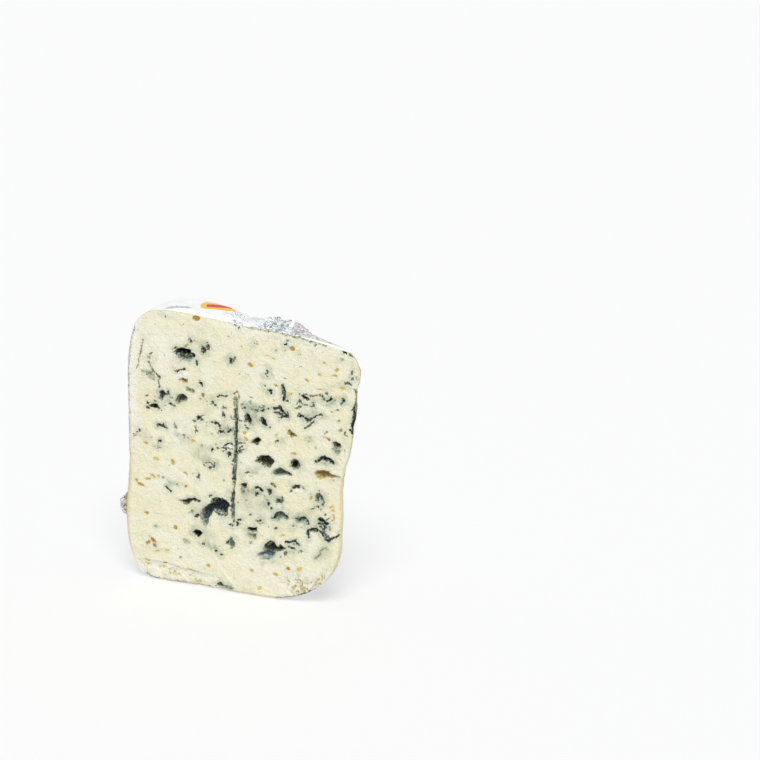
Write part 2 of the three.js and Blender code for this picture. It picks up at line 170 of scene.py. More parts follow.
# Specks and pinholes of mould: across, up, width, height, turn, depth, how dark, tint.
SPECKS = [
    (9.6, 14.6, 2.6, 2.2, 0, .3, .34, .4), (28.3, 100.2, 1, 2, 15, .5, .8, 0),
    (30.6, 92.4, 1, 1.2, 20, .6, .8, .2), (31, 91.4, 1.1, .9, -30, .5, .7, .3),
    (21.8, 96.6, 2, .8, 40, .6, .8, 0), (20.9, 96, 1.2, .7, 0, .4, .75, 0),
    (35.7, 99, 1.5, 1.5, 0, .7, .86, -.3), (35.9, 97.9, .9, 1.2, 0, .6, .9, .2),
    (26.8, 98.1, 2.2, .6, 25, .4, .5, .9), (11.2, 93.4, 1.5, .9, 30, .4, .58, .7),
    (10.4, 91.6, 1, .7, 0, .3, .55, .5), (32.2, 83.4, .9, 1.2, 20, .7, .9, .1),
    (31.6, 84.6, .8, .9, 0, .4, .55, .6), (32.9, 79.2, 1.2, 1.2, 50, .5, .62, .6),
    (34.6, 76.6, .7, .5, 0, .3, .5, .9), (32, 77.3, .7, .5, 0, .3, .5, .7),
    (37.3, 76.7, 1.5, .9, -35, .6, .86, 0), (38.2, 75.6, 1.1, .9, 40, .5, .8, 0),
    (42, 75.1, 1.5, .6, 10, .4, .7, .4), (41.6, 72, 1.2, 1.7, 20, .8, .9, .1),
    (41.2, 73, .8, 1, 0, .5, .8, .3), (44.4, 71.8, .7, 1.8, -25, .3, .4, .2),
    (8.8, 76.1, 1.4, .7, 30, .4, .58, .9), (11.8, 76.1, .8, .6, 0, .3, .6, -.2),
    (12.2, 74.4, 1.6, .7, -30, .4, .6, .3), (9.2, 73.5, 1.2, 1, 0, .6, .95, 0),
    (8.8, 71.6, 1.4, 1.1, 30, .5, .85, -.2), (16.4, 73, 1.1, .5, 0, .4, .7, .7),
    (19.2, 73.9, 1.6, 1, -10, .9, .97, 0), (20.3, 73.4, .8, .6, 0, .6, .9, 0),
    (19.6, 76.7, .8, .5, 0, .3, .55, 0), (20.8, 65.1, 1, .9, 0, .4, .72, 0),
    (20.4, 66, .6, .8, 0, .3, .6, -.2), (24.5, 62, 1, .9, 0, .4, .7, .1),
    (29.6, 64.4, 1.4, 1.3, 0, .6, .84, 0), (29.5, 65.8, .7, 1.1, 0, .4, .66, 0),
    (29.2, 68.3, 1, .9, 45, .5, .8, .4), (31, 69.7, 1.7, 1.6, 0, .9, .92, 0),
    (32.2, 69.2, 1.2, 1, -40, .6, .86, 0), (32, 70.4, 1.3, .5, 10, .3, .7, 0),
    (34.3, 68.1, .7, .6, 0, .3, .6, .5), (34.2, 66.8, .6, .6, 0, .3, .6, .5),
    (33.2, 71, .8, .4, 0, .3, .5, .5), (4, 60.5, 1.6, .7, 40, .7, .9, 0),
    (5.2, 61.4, .9, 1.3, 15, .9, 1, 0), (2.8, 59.6, 1.2, .6, 60, .5, .8, 0),
    (14.1, 58.3, 1.1, 1.2, 0, .9, 1, 0), (36.5, 57.8, 1.1, 1.1, 0, .9, 1, 0),
    (39.1, 58.6, 1.4, .8, -20, .5, .72, .8), (32, 58.5, 1.2, .9, 0, .3, .5, -.1),
    (37.8, 60, .5, .8, 0, .3, .5, .8), (44.5, 52.7, .8, .7, 0, .4, .7, 0),
    (38.2, 68.5, 2, 1.3, -10, .8, .92, 0), (39.6, 67.6, 1.2, 1.3, -40, .7, .9, 0),
    (36.6, 68.8, .9, .8, 0, .4, .8, .1), (39.9, 65.3, 1.6, 1.3, 0, 1.2, 1, 0),
    (41, 65.6, 1, .9, 30, .7, .95, 0), (40, 66.6, .6, 1, 0, .4, .6, .5), (43.2, 65.6, 1.4, 1, 20, .9, 1, 0),
    (44.3, 66.4, 1.2, .7, 45, .5, .8, -.2), (36.4, 64, .8, .5, 0, .2, .4, .6),
    (30.4, 46.4, .9, 1.8, 0, .6, .78, .2), (30.8, 45, .7, 1.1, -20, .4, .6, .5),
    (34.9, 38.6, 1.2, .9, 0, .7, .88, .1), (20.6, 41.4, .9, .8, 0, .5, .8, 0),
    (14.6, 43.4, .9, .8, 0, .4, .7, .2), (27.2, 31.2, 1.1, .9, -30, .5, .74, .1),
    (29.2, 29.6, 1.4, 1.1, 20, .9, .96, 0), (25.8, 30.4, 1, .5, 30, .3, .5, .3),
    (31.3, 18.3, 1.3, .8, 0, .5, .8, .3), (36.8, 15.9, 1.7, .8, -10, .5, .8, .4),
    (38.9, 14.5, 1.3, .9, -30, .6, .88, .4), (35, 16.4, .6, 1.2, 0, .3, .5, .2),
    (41.6, 20.3, .8, .9, 0, .6, .95, 0), (43.9, 22.6, .9, .6, 0, .4, .75, .2),
    (43.7, 18, 1, .5, 0, .4, .7, .5), (46.4, 29, .9, 1.3, 40, .9, .92, 0),
    (47.6, 30.3, 1.2, .8, 45, .7, .9, 0), (46.2, 28, .9, .6, 30, .6, .88, 0),
    (44.1, 27.8, 1.6, .7, 5, .6, .86, .5), (45.4, 29.4, .6, .6, 0, .3, .5, 0),
    (23.4, 18.4, 1.1, 1.5, 30, .3, .46, .2), (52.1, 21.6, 1, .7, 30, .3, .58, -.3),
    (69.4, 21.8, 1.3, 1, 0, 1, .98, 0), (68.2, 22.2, 1.6, .9, -10, .6, .7, -.2),
    (66.6, 19.4, .9, 1.8, -10, .6, .66, .2), (72.9, 20.9, 1.5, .8, 15, .5, .72, .1),
    (70.2, 23.4, 1.4, .8, 0, .5, .5, -.4), (51.2, 50.3, 2.2, .9, 20, .5, .76, .1),
    (52.6, 49, 1, .6, 0, .3, .4, .6), (61.6, 46.9, 1.7, .8, -15, .6, .7, .4),
    (62.6, 46.2, .9, .9, 30, .4, .6, .7), (64, 64.5, 1.5, .7, 20, .6, .85, .6),
    (63.4, 63.9, 1, .6, 0, .4, .6, .3), (51.4, 68.1, 1.7, .7, -10, .5, .76, .1),
    (50.6, 69.1, .9, .7, 0, .4, .66, .2), (50.6, 76.3, 1.1, .9, 0, .5, .86, 0),
    (49.7, 77.2, .8, .7, 0, .4, .7, 0), (53, 78.6, 1, 1.6, 0, .3, .6, -.2),
    (54, 76.2, .9, .6, 0, .3, .6, -.2), (55.8, 76, 1.6, .9, -20, .4, .72, .1),
    (58.3, 76.6, 1.5, .9, -40, .5, .82, 0), (58.6, 77.8, .9, .7, 0, .4, .74, .1),
    (56.6, 77.2, .7, .6, 0, .3, .6, 0), (60.4, 77, .9, .9, 0, .5, .9, .1),
    (61.5, 84, 1.3, 1.7, 0, .7, .97, 0), (66.7, 81.6, 1.2, 1.6, 0, .8, .98, 0),
    (67.6, 80.8, .9, .6, 0, .4, .8, 0), (59, 85.6, .8, .7, 0, .3, .75, .5),
    (60.2, 91.3, .7, 1.4, -30, .7, .95, .4), (59.6, 90.6, 1, .6, 30, .6, .9, .4),
    (59.9, 89.6, .7, .5, 0, .4, .8, .4), (73, 81.4, .9, 1.4, -20, .5, .84, .1),
    (72.2, 80.6, .7, .9, 0, .4, .7, .1), (73.3, 79.2, 1.5, .9, 20, .4, .68, 0),
    (71.9, 78.4, .9, .8, 0, .4, .86, .3), (78.8, 80.8, .9, 1.8, 15, .5, .8, .1),
    (78.2, 79.8, .8, .7, 0, .4, .84, .3), (75.6, 84.4, 1.2, .5, 0, .4, .7, 0),
    (78.2, 84.1, .9, .5, 0, .4, .7, .2), (82.2, 84.4, 1.3, .9, -40, .5, .84, 0),
    (84.2, 85.8, .9, 1.2, 0, .5, .74, 0), (83, 83.4, .9, .7, 0, .4, .7, -.2),
    (88.6, 79.6, 1.4, .8, 20, .4, .6, .3), (86.2, 78.8, .9, .5, 0, .3, .5, .6),
    (92.1, 90.6, 1.6, .6, 15, .5, .84, .2), (93.8, 90.1, 1.1, .8, 0, .5, .8, 0),
    (94.2, 94.6, .9, 1.4, 0, .5, .68, .1), (94.6, 92.6, .8, 1.3, 0, .4, .6, 0),
    (96.4, 92.6, 1.4, 1.4, 0, .3, .4, .9), (67.5, 102.8, .8, .6, 0, .4, .92, .1),
    (69, 104.3, .6, .4, 0, .3, .7, .3), (55.3, 102.2, .9, .7, 0, .4, .9, .2),
    (67.6, 100.6, .5, .5, 0, .3, .6, .4), (63.8, 100.5, .7, .4, 0, .3, .6, .5),
    (73.6, 99.5, .9, .5, 0, .3, .6, .4), (79.6, 104, 1.3, .7, 30, .3, .56, .3),
    (90.6, 99.6, 1.2, .8, 0, .3, .5, -.5), (18.1, 108.6, .8, .6, 0, .4, .9, .1),
    (47.4, 108.1, 1.4, 1, -20, .5, .98, 0), (48.9, 107.5, .9, .8, 0, .5, 1, 0),
    (46.6, 108.8, .9, .5, 0, .3, .8, 0), (54.9, 42.4, 1.3, 1.1, 0, 1, .97, 0),
    (54.6, 41.3, .8, .9, 0, .5, .7, .3), (49.2, 42.4, 1.9, 2.2, 0, .5, .46, -.3),
    (59.7, 38.6, 1.5, 1.3, 0, .9, .92, .1), (59.3, 40, .7, .8, 0, .4, .6, .3),
    (60.8, 37, .9, .6, -30, .5, .78, .2), (55.9, 31.1, 1.3, 1, 0, .8, .97, 0),
    (54.3, 30.9, 1.3, .7, 0, .5, .76, -.1), (57.2, 30.2, .9, .6, 0, .3, .5, .1),
    (52, 33.3, 1.2, .8, 30, .4, .58, -.1), (62.7, 29.5, 1.2, 1, 0, .5, .78, .5),
    (69.6, 30.9, 1.1, .7, 10, .5, .88, .3), (80.1, 40.5, 1.3, .9, 0, .8, .97, 0),
    (78.6, 39.6, 1.1, .6, 45, .6, .9, 0), (81.6, 39.8, .6, .8, 0, .3, .5, .2),
    (83.2, 37.8, .8, .8, 0, .4, .68, .2), (86.3, 35.6, .5, .8, 0, .3, .6, .3),
    (85, 31.8, .6, .8, 0, .4, .7, .2), (80.6, 46.8, 1, 1, 0, .3, .5, -.2),
    (77.4, 43.6, .8, 1.2, -35, .3, .4, .8), (71.4, 46.9, 2.1, 1.3, -10, .9, .92, .2),
    (69.3, 44.9, 1.2, .6, 0, .4, .56, .7), (89.2, 75.7, 1, .7, 20, .4, .62, .6),
    (89.8, 71.9, .9, 1.3, -35, .4, .5, .8), (91.7, 71.4, .5, 1.6, -25, .4, .7, .7),
    (92.2, 70.2, 1, .5, -30, .4, .6, .7), (84, 70.4, 1.2, .7, 30, .3, .58, .3),
    (83.3, 68.4, 1, .6, 0, .3, .5, .3), (77.4, 67.8, .8, .9, 0, .3, .42, .1),
    (75.4, 67.2, .8, .5, 0, .2, .36, .2), (76.8, 65.8, .8, .8, 0, .3, .4, .2),
    (79.6, 63.9, .6, .8, 0, .2, .4, .6), (60.6, 69.8, .9, .6, 0, .4, .8, .1),
    (13.4, 55.3, 1.8, .5, 20, .4, .6, .1), (11, 55.8, 1, .4, 0, .3, .4, .2),
    (41, 45.8, 1.2, .6, 0, .2, .36, .1), (10.8, 22.5, 1, .8, -30, .3, .5, 0),
    (41.4, 1.2, 5, 1.2, 0, .4, .52, -.4), (86.5, 51.8, 1, .6, 0, .3, .3, .9),
]

# Cracks and piercing channels, and a few thin lines of painted shade along the rim: width, depth, how dark,
# tint, and the line they follow.
CRACKS = [
    (.7, .9, .97, 0, [(61.6, 33), (62.4, 34.8), (63.8, 35.9), (65.2, 36), (66.4, 35.2), (67.3, 33.8)]),
    (.7, .9, .97, 0, [(71, 34.2), (72.6, 33.8)]),
    (.8, .9, .97, 0, [(73, 34.8), (74.5, 35.2), (75.6, 33.9), (76.2, 32.8)]),
    # Painted contact shadow: two thin dark lines along the lower edge, under the toe and along the base.
    (.35, .1, .6, .5, [(62, .4), (66, .9), (70, 2), (75, 4.2), (79, 6.8)]),
    (.35, .1, .6, .4, [(5, 1.4), (9, .25), (22, .2), (34, .2)]),
    (.5, .6, .8, 0, [(34.8, 36), (36.4, 37.4), (38.4, 38.1), (40.4, 37.4), (42.2, 37), (43.2, 35.8)]),
    (.5, .5, .56, .8, [(48.1, 78.5), (48.2, 80.6), (47.4, 82.4), (46.2, 81.4), (46, 78), (46.2, 73)]),
    (1.5, 1, .42, .15, [(46.9, 79.5), (47, 75), (46.8, 70)]), (.5, 1.2, .9, .1, [(46.2, 75), (46.2, 71.6)]),
    (1.2, 1.3, .74, -.1, [(46.8, 71.5), (46.6, 64), (46.2, 57)]),
    (.5, 1.3, .95, 0, [(47.2, 69.5), (46.9, 62), (46.6, 58.5)]),
    (1.2, 1.3, .58, -.1, [(46.2, 57), (45.8, 50), (45.2, 44.6)]),
    (.4, 1.3, .92, 0, [(45.6, 57), (45.2, 51), (44.8, 45)]),
    (.7, .8, .62, .6, [(45.2, 44.6), (44.9, 41.5)]),
    (1.3, 1.4, .56, -.15, [(44.8, 41.2), (44.5, 36), (44.6, 31.6)]),
    (.5, 1.3, .9, .1, [(44.4, 41.4), (44, 37.5), (44, 34)]), (.7, 1.3, .7, 0, [(44.6, 32), (44.9, 29.2)]),
    (.55, .7, .72, .5, [(10, 90), (11.2, 87.8), (12.6, 86), (14.8, 84.3)]),
    (.5, .5, .6, .5, [(9, 84.6), (11.6, 86.4)]),
    (.6, .6, .62, .4, [(14.6, 84.3), (13.9, 82.6), (14.5, 80.2)]),
    (.5, .4, .5, .3, [(7, 86.2), (9.4, 85.6), (12, 84.8)]),
    (.85, 1.1, .96, 0, [(76.2, 27.4), (75.7, 29.8), (77.4, 30.8), (79.6, 31.2)]),
    (.8, .9, .8, .3, [(77.4, 30.2), (79.6, 30.4)]),
    (.75, 1, .95, 0, [(79.8, 31), (81.6, 29.6), (83.2, 28), (84.2, 27)]),
    (1.5, .6, .58, -.5, [(81.8, 30.4), (84.8, 28)]),
    (.8, .9, .92, 0, [(84.4, 27.3), (86.2, 28.2), (87.6, 28.9), (88.9, 30.3)]),
    (1.2, 1.2, 1, 0, [(80.6, 35.2), (82.4, 34.8), (84, 34)]),
    (.8, .9, .92, 0, [(80.6, 33.7), (82, 33.2), (83.4, 32.3)]),
    (.8, .8, .86, -.1, [(81, 32.3), (82.6, 31.5)]), (.8, .5, .6, -.5, [(81.6, 34.2), (83.2, 33.3)]),
    (.5, .4, .56, .2, [(83.4, 35.4), (85, 36.6)]),
    (1, .9, .97, .1, [(62.5, 77.5), (64.6, 77.9), (66.2, 76.6), (67.8, 75)]),
    (.7, .6, .92, .1, [(63, 75.9), (64.8, 76.2), (65.8, 75.4)]),
    (.8, .7, .9, .2, [(64.8, 73.8), (66, 74.4), (68, 74.8)]),
    (.7, .6, .85, .1, [(68.2, 76.4), (68.5, 74.6)]), (.8, .6, .95, 0, [(65, 78.6), (65.6, 77.8)]),
    (.6, .5, .76, 0, [(75.1, 71.2), (77.2, 72.4), (79.2, 74.6)]),
    (.8, .9, .95, .1, [(73, 76.4), (74.3, 75.6)]),
    (.9, 1, .94, .1, [(75.2, 74.9), (76.8, 73.9), (77.8, 75.2)]),
    (.55, .6, .86, 0, [(78.6, 75.6), (80.2, 76.6), (82.2, 77.1)]),
    (.45, .4, .6, .9, [(77.8, 84.1), (80, 84.6), (81.8, 84.9)]),
    (.5, .3, .5, .2, [(73.4, 81), (75, 80.2), (77, 80.3)]),
    (.9, .8, .92, 0, [(66.3, 86.8), (66.9, 84.8), (67.1, 83)]),
    (.6, .5, .7, .1, [(65.9, 85.6), (66.4, 83.6)]),
    (.8, .8, .62, .9, [(95.7, 88.4), (96.2, 85), (95.8, 82)]),
    (1.5, 1.3, .99, .1, [(95.7, 82), (95.2, 78), (94.8, 74.4)]),
    (1.3, 1.3, 1, 0, [(94.6, 75), (94.7, 72.8), (95.1, 70)]),
    (.8, .6, .52, .1, [(96.3, 80.4), (96.1, 76), (95.8, 72.6)]), (.6, .5, .6, .4, [(95.1, 70), (95, 66.8)]),
    (.6, .5, .8, .8, [(21.6, 87.3), (23.4, 87.9), (25.6, 88.6)]),
    (.6, .8, .97, .4, [(41.4, 60), (43, 60.7), (44.8, 61)]), (.5, .5, .9, .2, [(46.9, 59.2), (49, 60.4)]),
    (.5, .5, .92, .4, [(47.6, 61.5), (50.2, 61.9)]),
    (.5, .5, .9, .3, [(40.6, 58.9), (42.2, 59.3), (43.6, 58.6), (44.9, 58.9)]),
    (.5, .4, .8, .4, [(41.2, 57.6), (42, 58.3)]), (.5, .5, .9, .3, [(47, 57.6), (48.6, 59), (50.2, 59.4)]),
    (.4, .4, .8, .4, [(45, 71), (49, 70.6)]), (.7, .6, .9, .1, [(47, 58.2), (48.4, 58.3)]),
    (.5, .5, .88, .2, [(33, 51.5), (34.8, 52.3), (36.4, 51.7)]),
    (.5, .5, .9, .1, [(35.4, 50.4), (37.2, 51), (37.4, 52.4)]),
    (.6, .6, .94, .5, [(39.2, 79), (40.6, 79.9), (42.3, 79.5), (43.2, 80)]),
    (1.6, .6, .46, .4, [(26.4, 81), (28, 80.2), (28.6, 79.8)]),
    (.35, .4, .8, .4, [(69, 45.2), (69.4, 46.8), (71, 47.8), (73, 47.7), (74.5, 46.6)]),
    (.9, .8, .92, .1, [(44.9, 94.9), (45, 93)]), (.8, .6, .64, 0, [(45.3, 93.6), (47, 95.6)]),
    (.8, .8, .86, .1, [(15.4, 39.8), (16.6, 38.6), (17.8, 38.2)]),
    (.35, .5, .88, .3, [(37.6, 32), (39.4, 31), (41.6, 31.4), (42.2, 32.6)]),
    (.9, 1, .97, 0, [(66.6, 24.2), (68.6, 24.4), (70.4, 25)]), (.8, .7, .8, 0, [(70.6, 24.8), (72, 23.8)]),
    (.6, .6, .97, .3, [(57.6, 21.2), (59.4, 22.6), (61.3, 23.2), (62.6, 22)]),
    (.5, .4, .74, .7, [(65.8, 53), (67.6, 52.9), (69.2, 52)]),
    (.7, .4, .5, .1, [(83.6, 24), (81.4, 22.6), (80.6, 20.8), (78.8, 18.8)]),
    (.6, .5, .78, .5, [(85.2, 55.1), (83.6, 54.6)]), (.9, .4, .97, .2, [(90.9, 102.7), (92.3, 102.4)]),
    (.6, .3, .85, .2, [(93.6, 101.7), (94.3, 101.1)]),
    (.4, .1, .42, -.2, [(.6, 60), (.8, 70), (1.1, 80), (1.5, 88), (2.2, 94), (3.3, 99), (4.9, 103.6)]),
    (.4, .1, .32, .9, [(-1.5, 36), (-.4, 44), (.3, 52), (.5, 58)]),
    # Along the top edge, under the foil: a thin olive line, partly the rind's own colour and partly painted
    # shade.
    (.5, .3, .52, .45, [(50, 108), (56, 107.7), (60, 107.3), (63, 107.1), (68, 106.6), (74, 105.8),
     (84, 104.1)]), (.4, .2, .5, .5, [(4.7, 86.4), (5.4, 88.6), (6.3, 92), (7.4, 95.6), (8, 98.6)]),
    (.7, .3, .44, .5, [(5.8, 90), (6.8, 93.4), (7.3, 95.8)]), (.4, .3, .5, .6, [(7.4, 18), (8.6, 17.4)]),
    (.7, .4, .5, .7, [(6, 15), (7.6, 15.8)]), (.8, .5, .62, .8, [(8.8, 17), (10, 15.8)]),
    (.4, .2, .36, .8, [(24, 6.4), (26.6, 5.8), (28.4, 5.7)]),
]

# Amber pinholes, drier and glassy inside: across, up, width, height, turn, how brown.
PINHOLES = [
    (19, 50.7, 1.8, 1, -30, .8), (19.3, 49.6, 1.3, .7, 0, .5), (7.8, 56.5, 1.5, .8, 0, .7),
    (8, 42.1, 2.2, .9, 5, .6), (10.1, 43.6, 2, .8, -35, .6), (12.6, 43.8, .8, .8, 0, .7),
    (4.8, 39.2, 2.9, 1.1, -20, .9), (2.9, 40.7, 1.5, .8, -50, .7), (6.6, 27.8, 1.9, 1, 0, .9),
    (19.2, 23.2, 1.7, 1.5, 40, .9), (24.3, 41.3, 1.1, 1.3, 0, .9), (24.5, 46.4, 1.4, .7, -30, .8),
    (33.3, 9.3, 1.7, .9, 0, .8), (14.2, 7.6, 2.6, .8, 22, .8), (6.2, 7.4, 2.3, .8, -25, .5),
    (21.1, 10.7, 1.2, .7, 15, .7), (25, 6, 3, .5, 0, .3), (9.2, 16.5, 2, .9, -50, 1),
    (7, 15.2, 1.8, .9, 45, .9), (10.9, 12.1, 1.9, .6, 15, .4), (15.5, 13, 1.7, .6, 0, .3),
    (12, 50.8, 2.1, .9, 0, .35), (28.2, 60, 1.7, .9, 0, .4), (52.1, 10.1, 1.4, .9, 0, .7),
    (62.2, 10, 1.7, 1, -30, .5), (67.7, 13.1, 1.1, 1.3, 30, .95), (72.4, 13.7, 2.2, .9, 25, .5),
    (65.3, 26.6, 1.6, .7, 0, .4), (70.3, 6, 1.7, .6, 30, .4), (44.6, 103.2, .9, .8, 0, .7),
    (53.4, 93.3, 1.8, 1.2, -15, .8), (70.6, 101.6, 1.9, 1.4, 0, .95), (88.3, 95.2, 1.6, .9, 0, .7),
    (87.3, 93, 1.8, .7, 0, .6), (81.3, 92.8, 1.2, .6, 0, .5), (90.4, 88.4, 1.6, .8, 0, .5),
    (76.3, 89.8, 1.9, .8, -45, .7), (83.3, 97.5, 1.4, .6, 0, .35), (62.8, 97, 1.4, .6, 0, .3),
    (31, 109.3, 2.8, 1.5, 0, 1), (63.8, 86.5, 1.5, .8, -25, .9), (84.9, 67.8, 1.9, .9, -40, 1),
    (63.7, 67, 1.8, .5, 35, .6), (50.7, 63.8, 2.2, .6, -35, .7), (70.9, 60.5, 2.1, .6, 0, .7),
    (50.1, 66.2, .9, .9, 0, .7), (85.8, 41.2, 2, .6, 5, .5), (86.4, 39.7, 1.4, .8, 0, .6),
    (86.6, 37, .6, 2, 5, .45), (80.2, 10.8, 1.4, .6, 20, .5), (69.4, 84, 1.4, .8, 25, .5),
    (81.5, 87, 1.8, .5, 0, .4), (55.2, 3, 1.9, 1.2, 10, .3), (60.6, 97.8, 1.8, .4, -8, .25),
]

# Torn, chalky patches, where the paste came away in flakes: across, up, width, height, turn, how white.
FLAKES = [
    (91, 96.5, 8, 5, 0, .45), (96.2, 90, 3, 9, 0, .7), (24.4, 86.2, 5.6, 4.4, 5, 1.2),
    (71.6, 46.6, 6.2, 3.4, -5, 1.4), (43.6, 59.6, 4.6, 3.6, 0, .9), (49.2, 60.4, 3.4, 2.4, 20, .7),
    (52, 66, 5, 3, 20, .4), (57.5, 68.2, 4.4, 2.6, 30, .5), (88.2, 81.6, 4.2, 3.6, 0, .5),
    (75.6, 81.6, 4, 2.2, 0, .4), (65.8, 50.4, 6.4, 1.4, 8, .9), (72.8, 32, 3.6, 1.6, 0, .6),
    (65.8, 32.8, 3, 1.6, 0, .6), (69, 33.2, 1.6, 3.6, 0, .6), (95.6, 93.6, 3.6, 6, 0, .5),
    (72, 6.5, 10, 4.6, 10, .55), (12, 5.4, 16, 2.4, -3, .4), (27, 4.2, 10, 2, -4, .4),
    (45.8, 70.8, 3.4, .9, 10, .6), (29.6, 94.4, 1.2, 1, 0, .5), (34.8, 31, 1.6, 1.6, 0, .9),
    (40, 38.4, 6, .8, 6, .7), (57.6, 23.6, 3.6, .6, 25, .5), (34.6, 98.4, 1.2, .8, 0, .8),
    (84.2, 86.6, 8, 1.4, 3, .5), (62.4, 85.8, 4.6, 1.6, -20, .5), (7.4, 97, 2, 14, -8, .3),
    (82.4, 11.5, 1.6, 6, -40, .5), (40.6, 8, .8, 13, 38, .5), (36.2, 14.4, .8, 5, 12, .4),
    (70.4, 58.9, 5, .9, 0, .5), (53, 56.6, 2, 2, 0, .4),
]

# Clouds of fine mould in the paste round the cavities: across, up, width, height, turn, strength.
CLOUDS = [
    (25, 60, 9, 7, 0, .2), (26, 94.5, 16, 11, 0, .16), (34.5, 97.5, 9, 8, 0, .16), (31, 101, 10, 6, 20, .1),
    (46, 94.5, 8, 8, 0, .12), (9.5, 85.6, 7, 3.4, 0, .3), (11.5, 84, 5, 2.6, 0, .34),
    (10.6, 92.4, 5, 3.4, 30, .22), (16, 77, 9, 9, 0, .2), (11.5, 72.5, 11, 6, 0, .16),
    (15, 64.5, 9, 5, 0, .12), (23, 75.8, 9, 6, 10, .14), (21.5, 62, 5, 2.4, 0, .22),
    (41.5, 66.6, 12, 7, -10, .3), (44.8, 66.8, 5, 2.2, 15, .46), (32, 55.5, 12, 9, 0, .2),
    (36.5, 52, 10, 6, 0, .14), (54, 76.6, 14, 6, 0, .34), (55, 71.5, 14, 9, 0, .2),
    (17.6, 41.6, 5.4, 4.8, 0, .26), (32, 21.5, 16, 12, -30, .13), (35, 17.3, 9, 4, -25, .22),
    (31, 31, 12, 10, 0, .18), (53, 37.5, 22, 13, 0, .15), (50, 42.6, 6, 5, 0, .3), (55, 43.2, 6, 5, 0, .3),
    (60.5, 42.5, 8, 8, 0, .2), (64.5, 41, 6, 5, 0, .28), (65, 34.5, 10, 8, 0, .24),
    (73.5, 34, 10, 8, 0, .26), (80.5, 43.5, 9, 10, 0, .24), (82, 33, 9, 9, 0, .26),
    (82, 22, 12, 8, 40, .18), (61, 18.5, 18, 10, 10, .18), (58, 16.4, 7, 2.2, 10, .4),
    (56.5, 13.6, 8, 2.2, 15, .18), (69.5, 22.6, 9, 7, 0, .2), (52.6, 25, 8, 6, 0, .2),
    (43.4, 20.2, 6, 6, 0, .14), (24, 18, 4, 3.4, 0, .24), (11, 22.6, 4, 2, 0, .18), (65.5, 52, 9, 4, 0, .2),
    (53, 50.4, 6, 1.8, 5, .34), (55.4, 52.4, 6, 2.6, 30, .16), (72.6, 56, 7, 7, 0, .22),
    (87.8, 64.6, 6, 7, 0, .2), (83.5, 59, 10, 4, 0, .26), (76, 81.8, 10, 7, 0, .34),
    (86.5, 83, 14, 6, 0, .3), (76.5, 75.4, 12, 7, 15, .28), (66, 76.4, 9, 6, 0, .2),
    (67, 83.5, 5, 8, 0, .26), (61.4, 84, 5, 4.4, 0, .24), (77, 66.8, 5, 3.6, 0, .22), (95, 93, 5, 7, 0, .2),
    (40, 2, 13, 4, 0, .2), (46.9, 62, 5, 30, 0, .16), (45.2, 36, 5, 18, 0, .16),
    (90.7, 99.6, 2.6, 1.4, 0, .3), (70.5, 104.4, 34, 3.4, -4, .14), (56, 30.5, 6, 4, 0, .2),
    (35, 77, 8, 10, 0, .08), (8.5, 58.5, 8, 5, 0, .07), (12.5, 56, 6, 2.2, 0, .24),
]


def smooth_path(points, count):
    """count points, evenly spread along a smooth curve through the given ones: cubic pieces whose direction
    at each given point is that of the line between its two neighbours."""
    p = np.array(points, float)
    at = np.r_[0, np.cumsum(np.hypot(*np.diff(p, axis=0).T))]
    slope = np.gradient(p, at, axis=0)
    place = np.linspace(0, at[-1], 40 * len(p))
    i = np.clip(np.searchsorted(at, place, side="right") - 1, 0, len(p) - 2)
    h = (at[i + 1] - at[i])[:, None]
    f = (place - at[i])[:, None] / h
    start, end = (1 + 2 * f) * (1 - f) ** 2 * p[i], f * f * (3 - 2 * f) * p[i + 1]
    leave, arrive = f * (1 - f) ** 2 * h * slope[i], f * f * (f - 1) * h * slope[i + 1]
    fine = start + leave + end + arrive
    length = np.r_[0, np.cumsum(np.hypot(*np.diff(fine, axis=0).T))]
    even = np.linspace(0, length[-1], count)
    return np.stack([np.interp(even, length, fine[:, 0]), np.interp(even, length, fine[:, 1])], -1)


def coons(bottom, top, left, right):
    """A patch between four edges: the blend of bottom and top, plus the blend of left and right, less the
    flat patch between the four corners. Rows run from bottom to top, columns from left to right."""
    s = np.linspace(0, 1, len(bottom))[None, :, None]
    t = np.linspace(0, 1, len(left))[:, None, None]
    upright = (1 - t) * bottom[None] + t * top[None]
    level = (1 - s) * left[:, None] + s * right[:, None]
    corners = (1 - t) * ((1 - s) * bottom[0] + s * bottom[-1]) + t * ((1 - s) * top[0] + s * top[-1])
    return upright + level - corners


def ripples(a, b, size, seed, octaves=3):
    """Smooth random heights from -1 to 1: random values on a lattice of that size, joined by smoothstep.
    Each octave is turned, half as wide and half as high as the one before."""
    rng = np.random.default_rng(seed)
    total, weight = 0, 0
    for octave in range(octaves):
        lattice = rng.uniform(-1, 1, (128, 128))
        turn = 0.6 + 1.1 * octave
        x = (a * np.cos(turn) - b * np.sin(turn)) * 2**octave / size
        y = (a * np.sin(turn) + b * np.cos(turn)) * 2**octave / size
        i, j = np.floor(x).astype(int), np.floor(y).astype(int)
        fx, fy = x - i, y - j
        fx, fy = fx * fx * (3 - 2 * fx), fy * fy * (3 - 2 * fy)
        low = lattice[i % 128, j % 128] * (1 - fx) + lattice[(i + 1) % 128, j % 128] * fx
        high = lattice[i % 128, (j + 1) % 128] * (1 - fx) + lattice[(i + 1) % 128, (j + 1) % 128] * fx
        total = total + (low * (1 - fy) + high * fy) / 2**octave
        weight += 1 / 2**octave
    return total / weight


def step(value, low, high):
    """0 below low, 1 above high, and a smooth S between."""
    t = np.clip((value - low) / (high - low), 0, 1)
    return t * t * (3 - 2 * t)


def inside_oval(a, b, across, up, width, height, turn):
    """Distance inside an oval's edge, mm, below 0 outside it: its distance from the middle measured in its
    own half width and half height, taken from 1 and scaled by its smaller half."""
    c, s = np.cos(np.radians(turn)), np.sin(np.radians(turn))
    along = ((a - across) * c + (b - up) * s) / (width / 2)
    over = (-(a - across) * s + (b - up) * c) / (height / 2)
    return (1 - np.hypot(along, over)) * min(width, height) / 2


